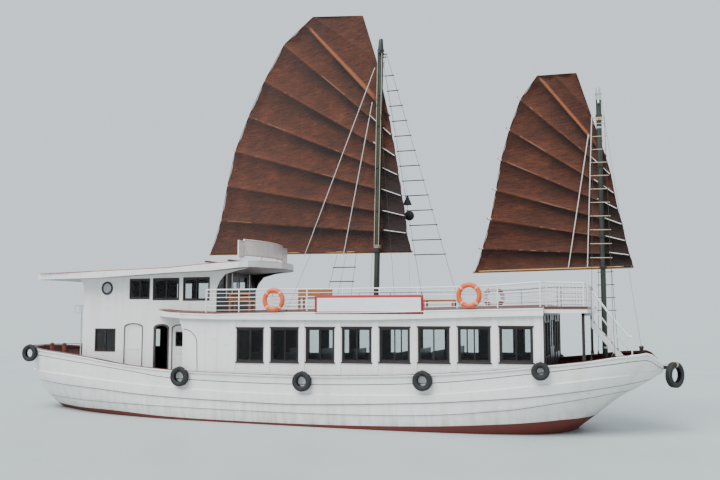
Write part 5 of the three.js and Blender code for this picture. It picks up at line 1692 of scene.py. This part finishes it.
def mast_pole(name):
    mast = MASTS[name]
    top, radius, shoulder = mast["top"], mast["radius"], mast["top"] - 0.35
    pole, fittings = Shape(), Shape()

    def ring(z, reach):
        x = mast_x(mast, z)
        return [(x + reach * math.cos(t), reach * math.sin(t), z) for t in full_turn(32)]

    rows = [(mast["foot"], 1.0), (shoulder, 1.0), (top - 0.02, 0.72), (top, 0.6)]
    pole.rings([ring(z, radius * share) for z, share in rows])
    inner, outer = radius + 0.001, radius + 0.008
    for z in (shoulder - 0.02, shoulder - 0.9, mast["collar"]):
        rows = [(inner, -0.03), (outer, -0.03), (outer, 0.03), (inner, 0.03)]
        fittings.spun(rows, (mast_x(mast, z), 0, z), Z_AXIS)
    head_x = mast_x(mast, shoulder - 0.1)
    for y in (-1, 1):
        block = (head_x, y * (radius + 0.07), shoulder - 0.14)
        fittings.spun([(0.02, -0.03), (0.05, -0.022), (0.05, 0.022), (0.02, 0.03)], block, X_AXIS, 20)
        fittings.bar((head_x, y * radius * 0.9, shoulder - 0.02), block, 0.01, 8)
    make(f"{name}_pole", pole, worn("mast"), replaces=[name])
    make(f"{name}_fittings", fittings, worn("metal" if name == "fore_mast" else "iron"))
    if name == "fore_mast":
        cap = Shape()
        rows = [(radius + 0.002, -0.36), (radius + 0.004, -0.35), (radius * 0.76, 0.0), (radius * 0.6, 0.012)]
        cap.spun(rows, (mast["x"], 0, top), Z_AXIS)
        make("fore_mast_cap", cap, worn("metal"))


def band(shape, mast, z):
    inner, outer = mast["radius"] + 0.0005, mast["radius"] + 0.022
    rows = [(inner, -0.03, 0), (outer, -0.03, 0), (outer, 0.03, 0), (inner, 0.03, 0)]
    shape.turned(rows, (mast_x(mast, z), 0, z), Z_AXIS)


def foot_lashing(shape, x, y, z):
    shape.spun([(0.03, 0.0), (0.032, 0.02), (0.02, 0.045)], (x, y, z), Z_AXIS, 16)
    for level in (0.06, 0.075, 0.09):
        hoop(shape, (x, y, z + level), 0.02, 0.006, 12)


def surface_at(x, on_hull):
    here = sheer_z if on_hull else upper_top
    return max(here(x - 0.025), here(x + 0.025)) + 0.001


def ladder(name):
    """Two ropes that spread from a cross bar at the masthead to their feet, with rungs lashed between."""
    key, side, height, arm, spread, (highest, step, lowest), feet = LADDERS[name]
    mast = MASTS[key]
    on_hull = key == "fore_mast"
    ropes, rungs = Shape(), Shape()
    x = mast_x(mast, height)
    heads = [Vector((x + reach, side * arm, height)) for reach in (-spread, spread)]
    ends = [Vector((at, side * y, surface_at(at, on_hull))) for at, y in feet]
    band(rungs, mast, height)
    rungs.bar((x, side * (mast["radius"] + 0.005), height), (x, side * (arm + 0.02), height), 0.022, 10)
    rungs.bar((x - spread - 0.02, side * arm, height), (x + spread + 0.02, side * arm, height), 0.018, 10)
    for head, end in zip(heads, ends):
        ropes.bar(head, end + above(0.02), 0.8 * sizes().rope, 8)
        foot_lashing(ropes, *end)
    level = highest
    while level > lowest:
        pair = [head.lerp(end, (height - level) / (height - end.z - 0.02)) for head, end in zip(heads, ends)]
        along = (pair[1] - pair[0]).normalized()
        reach = 0.05
        rungs.bar(pair[0] - along * reach, pair[1] + along * reach, 0.012 if on_hull else 0.018, 8)
        for point in pair:
            loop(ropes, point, Z_AXIS, along.cross(above(1)), 0.017, 0.017, 0.005, 10)
        level -= step
    # The rungs of the ladders on the port side take the dark mast paint as painted shade, seen against the
    # sky; the starboard fore ladder's rungs keep the pale rope colour.
    pale = name == "fore_ladder_starboard"
    make(f"{name}_ropes", ropes, worn("dark_rope"), replaces=[name])
    make(f"{name}_rungs", rungs, worn("rope") if pale else worn("mast"))


def main_shrouds():
    mast, height = MASTS["main_mast"], SHROUDS["height"]
    shape = Shape()
    band(shape, mast, height)
    head = Vector((mast_x(mast, height), -mast["radius"] - 0.02, height))
    for x in SHROUDS["feet"]:
        end = Vector((x, -SHROUDS["half"], surface_at(x, False)))
        shape.bar(head, end + above(0.02), SHROUDS["radius"], 8)
        foot_lashing(shape, *end)
    make("main_shroud_wires", shape, worn("dark_rope"), replaces=["main_shrouds"])


def forestay():
    mast, height, head = MASTS["fore_mast"], FORESTAY["height"], FORESTAY["head"]
    x, y = FORESTAY["post"]
    wire, post = Shape(), Shape()
    band(wire, mast, height)
    wire.bar((mast["x"] + 0.06, mast["radius"], height), (x, y, FORESTAY["end"]), 0.007, 8)
    post.box(x - 0.06, x + 0.06, y - 0.06, y + 0.06, deck_z(x + 0.06) + GAP, head)
    post.spun([(0.07, 0.0), (0.075, 0.03), (0.05, 0.07)], (x, y, head), Z_AXIS, 20)
    for z in (2.12, 2.14, 2.16):
        hoop(wire, (x, y, z), 0.095, 0.009)
    make("forestay_wire", wire, worn("metal"), replaces=["forestay"])
    make("forestay_post", post, varnish(), round_edges=0.008)


def running_lines():
    """Halyards down the main mast, and the black cone and ball that hang beside it."""
    mast = MASTS["main_mast"]
    lines, marks, cord = Shape(), Shape(), Shape()
    for shift in (-HALYARDS["shift"], HALYARDS["shift"]):
        heights = steps(*HALYARDS["z"], 20)
        lines.tube([(mast_x(mast, z) + shift, -mast["radius"] - 0.012, z) for z in heights], 0.011, 8)
    for z in HALYARDS["turns"]:
        hoop(lines, (mast_x(mast, z), 0, z), 0.107, 0.011, 32)
    make("main_halyards", lines, worn("rope"))
    x, y, radius = DAY_SHAPES["x"], DAY_SHAPES["y"], DAY_SHAPES["ball_radius"]
    hung = [(x - 0.08, y, 7.9), (x, y, 7.4), (x, y, 6.3)]
    cord.tube([DAY_SHAPES["cord_head"], *hung, DAY_SHAPES["cord_foot"]], 0.004, 6)
    marks.spun([(0.015, 0.17), (0.145, -0.14), (0.135, -0.155)], (x, y, DAY_SHAPES["cone"]), Z_AXIS, 28)
    ball = [(radius * math.sin(t), -radius * math.cos(t)) for t in steps(0.12, math.pi - 0.12, 12)]
    marks.spun(ball, (x + 0.06, y, DAY_SHAPES["ball"]), Z_AXIS, 28)
    make("day_shapes", marks, worn("canvas"))
    make("day_shape_line", cord, worn("rope"))


class JUNKBOAT_OT_rigging(bpy.types.Operator):
    """Steps the masts with their ladders, shrouds, stays and halyards"""

    bl_idname = "junkboat.rigging"
    bl_label = "Masts and rigging"

    def execute(self, context):
        for name in MASTS:
            mast_pole(name)
        for name in LADDERS:
            ladder(name)
        main_shrouds()
        forestay()
        running_lines()
        return {"FINISHED"}


# Sails


def sail_place(sail):
    """From the sail's own x, y and z to the boat's."""
    turn = math.radians(sail["angle"])
    cos, sin = math.cos(turn), math.sin(turn)
    return lambda x, y, z: (sail["pivot"] + x * cos + y * sin, -x * sin + y * cos, z)


def cloth_point(sail, row, u):
    lines = sail["lines"]
    i = min(int(row), len(lines) - 2)
    t = row - i
    (a0, b0), (a1, b1) = lines[i], lines[i + 1]
    x0, z0 = a0[0] + (a1[0] - a0[0]) * t, a0[1] + (a1[1] - a0[1]) * t
    x1, z1 = b0[0] + (b1[0] - b0[0]) * t, b0[1] + (b1[1] - b0[1]) * t
    return x0 + (x1 - x0) * u, z0 + (z1 - z0) * u


def cloth_relief(sail, row, u, x, z):
    """How far the cloth stands off its flat, and its tone there: painted shade below each batten, painted
    highlight along the battens and the crease at the yard, darker forward of the mast and on the lowest
    panels, and random stains.
    """
    last = len(sail["lines"]) - 1
    t = row - int(min(row, last - 0.001))
    edges = soft(u, 0, 0.06) * soft(1 - u, 0, 0.06)
    battened = row < BATTENED
    belly = sizes().belly * math.sin(math.pi * t) ** 0.7 * (0.45 + 0.55 * edges)
    belly *= 1.0 if battened else 0.45
    slant = 0.42 * x + z - 0.5 * math.sin(math.pi * u) * t
    pulled = soft(u, 0.25, 0.9) * 0.7 + soft(0.35 - u, 0, 0.3) * 0.5 + 0.2
    waves = ripple(x * 0.5, slant * 3.4, 1.7) + 0.6 * ripple(x * 1.1, slant * 8.5, 5.1)
    ridges = 1 - 2 * abs(ripple(x * 0.8, slant * 5.2, 9.3))
    crease = sizes().crease * sail["creases"] * pulled * math.sin(math.pi * t) ** 0.4
    crease *= 0.7 * waves + 0.35 * ridges
    hollow = 0.03 * ripple(x * 0.6, z * 0.6, 3.3) * edges
    clouds = 0.5 + 0.5 * ripple(x * 0.9, z * 1.3, 7.7)
    # Painted shade: a dark band just below each batten, fading down the panel and towards the leech.
    under = soft(t, 0.5, 0.96) * (1 - soft(t, 0.98, 1.0)) * (0.45 + 0.55 * soft(u, 0.05, 0.6)) * battened
    # Painted highlight: a thin light line along each batten and a fainter light band above it.
    batten_highlight = (0.16 * (1 - soft(t, 0.0, 0.03)) + 0.08 * (1 - soft(t, 0.04, 0.3))) * battened
    # Darker forward of the mast on the lower panels.
    luff = soft(x, -0.25, 0.2) * soft(7.9 - row * 1.6, 0, 1.6) * (0.75 + 0.35 * clouds)
    # Painted highlight along the crease at the yard.
    yard = 0.95 * (1 - soft(abs(row - 7.06), 0.03, 0.13)) * soft(u, 0.02, 0.1) * (1 - soft(u, 0.78, 0.92))
    # Above zero the cloth darkens: painted shade, the darker part forward of the mast, random tone and darker
    # lowest panels. Below zero it takes painted highlight.
    stain = 0.95 * under * (0.55 + clouds) + luff + 0.12 * clouds + 0.2 * soft(2 - row, 0, 1.2)
    return belly + crease + hollow, clamp(stain - batten_highlight * (1 - clamp(luff)) - yard, -1.0, 1.0)


def sail_cloth(name, sail):
    place = sail_place(sail)
    rows = sizes().cloth_rows
    last = len(sail["lines"]) - 1
    columns = sail["columns"]
    levels = [i / rows for i in range(last * rows + 1)]
    base = sail["offset"] + SPAR["cloth"] / 2
    points, stains_and_shading, faces = [], [], []
    for row in levels:
        for j in range(columns + 1):
            u = j / columns
            x, z = cloth_point(sail, row, u)
            push, stain = cloth_relief(sail, row, u, x, z)
            points.append(place(x, base + push, z))
            stains_and_shading.append(stain)
    width = columns + 1
    for i in range(len(levels) - 1):
        for j in range(columns):
            near, far = i * width + j, (i + 1) * width + j
            faces.append((near, near + 1, far + 1, far))
    shape = Shape()
    shape.add(points, faces)
    body = f"{name}_sail"
    cloth = make(f"{name}_sail_cloth", shape, sailcloth(), body, [body], sharp=80)
    # The mark on each point: painted shade and stains above zero, painted highlight below zero.
    marks = cloth.data.attributes.new("stain", "FLOAT", "POINT")
    marks.data.foreach_set("value", stains_and_shading)
    thicken(cloth, 0.004)
    return cloth


def sail_outline(sail):
    return [leech for leech, _ in sail["lines"]] + [luff for _, luff in reversed(sail["lines"])]


def flat_area(sail):
    outline = sail_outline(sail)
    pairs = zip(outline, outline[1:] + outline[:1])
    return abs(sum(a[0] * b[1] - b[0] * a[1] for a, b in pairs)) / 2


def pole(shape, place, start, end, depth, radius, knuckle=0.0, taper=0.8):
    """A round pole on the port face of the sail, with the knuckles of a bamboo cane."""
    count = max(4, int(math.dist(start, end) / 0.11))
    points, radii = [], []
    for i in range(count + 1):
        t = i / count
        points.append(place(start[0] + (end[0] - start[0]) * t, depth, start[1] + (end[1] - start[1]) * t))
        swell = knuckle if i % 4 == 2 else 0.0
        radii.append(radius * (1 - (1 - taper) * t) + swell)
    shape.tube(points, radii, 12)


def stretched_line(start, end, extra):
    """A line's two ends with the first moved out by an extra length."""
    length = math.dist(start, end)
    return (start[0] + (start[0] - end[0]) * extra / length, start[1] + (start[1] - end[1]) * extra / length)


def line_z(line, x):
    (x0, z0), (x1, z1) = line
    return z0 + (z1 - z0) * (x - x0) / (x1 - x0)


def batten(poles, ropes, sail, place, back, leech, luff):
    """A batten that stands out past the leech, with seven turns of rope round it there."""
    depth = back + SPAR["batten"]
    end = stretched_line(leech, luff, SPAR["overhang"])
    pole(poles, place, end, luff, depth, SPAR_RADIUS["batten"], 0.004)
    for i in range(7):
        x, z = stretched_line(leech, luff, -0.02 + 0.018 * i)
        loop(ropes, place(x, depth, z), Z_AXIS, place_axis(sail), 0.034, 0.034, 0.009, 14)
    x, z = stretched_line(leech, luff, 0.1)
    ropes.bar(place(leech[0], sail["offset"] - 0.01, leech[1]), place(x, back + 0.02, z), 0.01, 8)


def mast_tie(poles, ties, sail, place, back, line):
    """Three turns of rope round the mast, and the peg from them to a batten."""
    mast = MASTS[sail["mast"]]
    lead = (mast_x(mast, line_z(line, 0)) - sail["pivot"]) * math.cos(math.radians(sail["angle"]))
    z = line_z(line, lead)
    centre = Vector((mast_x(mast, z), 0, z))
    for level in (-0.02, 0.0, 0.02):
        hoop(ties, centre + above(level), mast["radius"] + 0.016, 0.011, 32)
    near = centre + (Vector(place(lead, back, z)) - centre).normalized() * (mast["radius"] + 0.01)
    poles.bar(near, place(lead, back + 0.02, z), 0.02, 10)


def sail_poles(name, sail):
    place = sail_place(sail)
    front, back = sail["offset"] - 0.014, sail["offset"] + SPAR["cloth"] + GAP
    poles, ropes, cords, ties, boom, hem = (Shape() for _ in range(6))
    lines = sail["lines"]
    for leech, luff in lines[1:BATTENED]:
        batten(poles, ropes, sail, place, back, leech, luff)
        start = luff[0] - sail["lashing"]
        inner = place(start, front, line_z((leech, luff), start) + 0.05)
        cords.bar(inner, place(luff[0] - 0.01, front, luff[1]), 0.013, 8)
    pole(poles, place, *lines[BATTENED], back + SPAR["yard"], SPAR_RADIUS["yard"], 0.003)
    pole(boom, place, *sail["boom"], back + SPAR["boom"], SPAR_RADIUS["boom"], 0.0, 0.95)
    hem.tube([place(x, back + 0.008, z) for x, z in sail_outline(sail)], 0.012, 8, closed=True)
    for i in (6, 4, 2, 0):
        mast_tie(poles, ties, sail, place, back, lines[i])
    for top, low in sail["lifts"]:
        cords.bar(place(top[0], 0.02, top[1]), place(low[0], back + 0.01, low[1] + 0.02), 0.016, 8)
    body = f"{name}_sail"
    spars = make(f"{name}_sail_poles", poles, worn("poles"), body, [f"{name}_sail_spars"])
    make(f"{name}_sail_boom", boom, varnish("Boom varnish", (0.5, 0.3, 0.12)), body)
    make(f"{name}_sail_ropes", ropes, worn("white_rope"), body)
    make(f"{name}_sail_hem", hem, worn("hem_rope"), body)
    make(f"{name}_sail_lines", cords, worn("white_rope"), body)
    make(f"{name}_sail_ties", ties, worn("dark_rope"), body)
    return spars


def place_axis(sail):
    turn = math.radians(sail["angle"])
    return (math.sin(turn), math.cos(turn), 0)


class JUNKBOAT_OT_sails(bpy.types.Operator):
    """Bends on the two battened sails with their poles and ropes"""

    bl_idname = "junkboat.sails"
    bl_label = "Junk sails"

    def execute(self, context):
        for name, sail in SAILS.items():
            cloth = sail_cloth(name, sail)
            spars = sail_poles(name, sail)
            leech, luff = sail["lines"][0]
            height = max(line[0][1] for line in sail["lines"]) - min(leech[1], luff[1])
            flat_area(sail)
        return {"FINISHED"}


# Deck fittings


def stern_bitts():
    shape = Shape()
    (x0, x1), y, top, bar = BITTS["x"], BITTS["y"], BITTS["top"], BITTS["bar"]
    foot = deck_z(x0 - 0.06) + GAP
    for x in (x0, x1):
        shape.box(x - 0.055, x + 0.055, y - 0.055, y + 0.055, foot, top)
        shape.spun([(0.078, 0.0), (0.08, 0.02), (0.07, 0.06), (0.04, 0.08)], (x, y, top), Z_AXIS, 20)
    shape.bar((x0 - 0.02, y, bar), (x1 + 0.02, y, bar), 0.045, 16)
    red = varnish("Reddish varnish", (0.17, 0.05, 0.03), (1, 1, 0.12))
    make("stern_bitt_posts", shape, red, replaces=["stern_bitts"], round_edges=0.01)


def windlass():
    shape, rope = Shape(), Shape()
    x, y = WINDLASS["place"]
    foot = max(deck_z(x - 0.12), deck_z(x + 0.12)) + 0.002
    axle = foot + WINDLASS["axle"]
    outline = [(x + a, foot + b) for a, b in WINDLASS["cheek"]]
    for at in (y - 0.26, y + 0.2):
        shape.panel(lambda a, b, d, at=at: (a, at + 0.06 * d, b), outline, 0, 1)
    shape.spun(WINDLASS["barrel"], (x, y, axle), Y_AXIS, 24)
    for i in range(8):
        loop(rope, (x, y - 0.1 + 0.026 * i, axle), X_AXIS, Z_AXIS, 0.147, 0.147, 0.013)
    make("windlass_barrel", shape, varnish(), replaces=["windlass"], round_edges=0.008)
    make("windlass_rope", rope, worn("rope"))


class JUNKBOAT_OT_fittings(bpy.types.Operator):
    """Adds the bollards and the windlass on the main deck"""

    bl_idname = "junkboat.fittings"
    bl_label = "Deck fittings"

    def execute(self, context):
        stern_bitts()
        windlass()
        return {"FINISHED"}


# Stage


def set_camera(scene):
    lens = bpy.data.cameras.new("Camera")
    lens.sensor_width = 36
    lens.lens = CAMERA["focal"] / CAMERA["width"] * lens.sensor_width
    lens.clip_end = STAGE["clip"]
    camera = bpy.data.objects.new("Camera", lens)
    camera.location = CAMERA["place"]
    heading, tilt = math.radians(CAMERA["heading"]), math.radians(CAMERA["tilt"])
    ahead = math.cos(tilt)
    look = Vector((-math.sin(heading) * ahead, math.cos(heading) * ahead, math.sin(tilt)))
    camera.rotation_euler = look.to_track_quat("-Z", "Y").to_euler()
    scene.collection.objects.link(camera)
    scene.camera = camera


def lay_floor(scene):
    reach = STAGE["floor"]
    mesh = bpy.data.meshes.new("Floor")
    mesh.from_pydata([(x, y, 0) for x, y in rect(-reach, reach, -reach, reach)], [], [(0, 1, 2, 3)])
    mesh.materials.append(worn("floor"))
    floor = bpy.data.objects.new("Floor", mesh)
    scene.collection.objects.link(floor)
    floor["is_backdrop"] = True


def set_light(scene):
    world = bpy.data.worlds.new("Overcast")
    world.use_nodes = True
    sky = world.node_tree.nodes["Background"].inputs
    sky[0].default_value = STAGE["sky"]
    sky[1].default_value = STAGE["sky_strength"]
    scene.world = world
    sun = bpy.data.lights.new("Soft key", "SUN")
    sun.energy = STAGE["sun"]
    sun.angle = math.radians(STAGE["sun_angle"])
    key = bpy.data.objects.new("Soft key", sun)
    key.rotation_euler = Vector(STAGE["sun_way"]).to_track_quat("-Z", "Y").to_euler()
    scene.collection.objects.link(key)


class JUNKBOAT_OT_stage(bpy.types.Operator):
    """Sets the camera, the pale floor at the waterline and soft light"""

    bl_idname = "junkboat.stage"
    bl_label = "Stage"

    def execute(self, context):
        set_camera(context.scene)
        lay_floor(context.scene)
        set_light(context.scene)
        return {"FINISHED"}


class JUNKBOAT_PT_panel(bpy.types.Panel):
    """Lists the parts of the boat and their paints"""

    bl_idname = "JUNKBOAT_PT_panel"
    bl_label = "Junk-rigged day boat"
    bl_space_type = "VIEW_3D"
    bl_region_type = "UI"
    bl_category = "Junk Boat"

    def draw(self, context):
        layout = self.layout
        for operator in OPERATORS:
            layout.operator(operator.bl_idname)
        for group in (paints(), sizes()):
            box = layout.box()
            for name in group.bl_rna.properties.keys():
                if name not in ("rna_type", "name"):
                    box.prop(group, name)


OPERATORS = (
    JUNKBOAT_OT_stage,
    JUNKBOAT_OT_hull,
    JUNKBOAT_OT_fenders,
    JUNKBOAT_OT_saloon,
    JUNKBOAT_OT_upper_deck,
    JUNKBOAT_OT_house,
    JUNKBOAT_OT_rigging,
    JUNKBOAT_OT_sails,
    JUNKBOAT_OT_fittings,
)
CLASSES = (JunkBoatPaints, JunkBoatSizes, *OPERATORS, JUNKBOAT_PT_panel)


def register():
    for cls in CLASSES:
        bpy.utils.register_class(cls)
    bpy.types.Scene.junk_boat_paints = bpy.props.PointerProperty(type=JunkBoatPaints)
    bpy.types.Scene.junk_boat_sizes = bpy.props.PointerProperty(type=JunkBoatSizes)


def unregister():
    del bpy.types.Scene.junk_boat_sizes
    del bpy.types.Scene.junk_boat_paints
    for cls in reversed(CLASSES):
        bpy.utils.unregister_class(cls)


def main():
    register()
    for operator in OPERATORS:
        group, name = operator.bl_idname.split(".")
        getattr(getattr(bpy.ops, group), name)()
    boxes = {"cad": CAD_BOX, "visual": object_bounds()}
    {key: [list(corner) for corner in box] for key, box in boxes.items()}


if __name__ == "__main__":
    main()
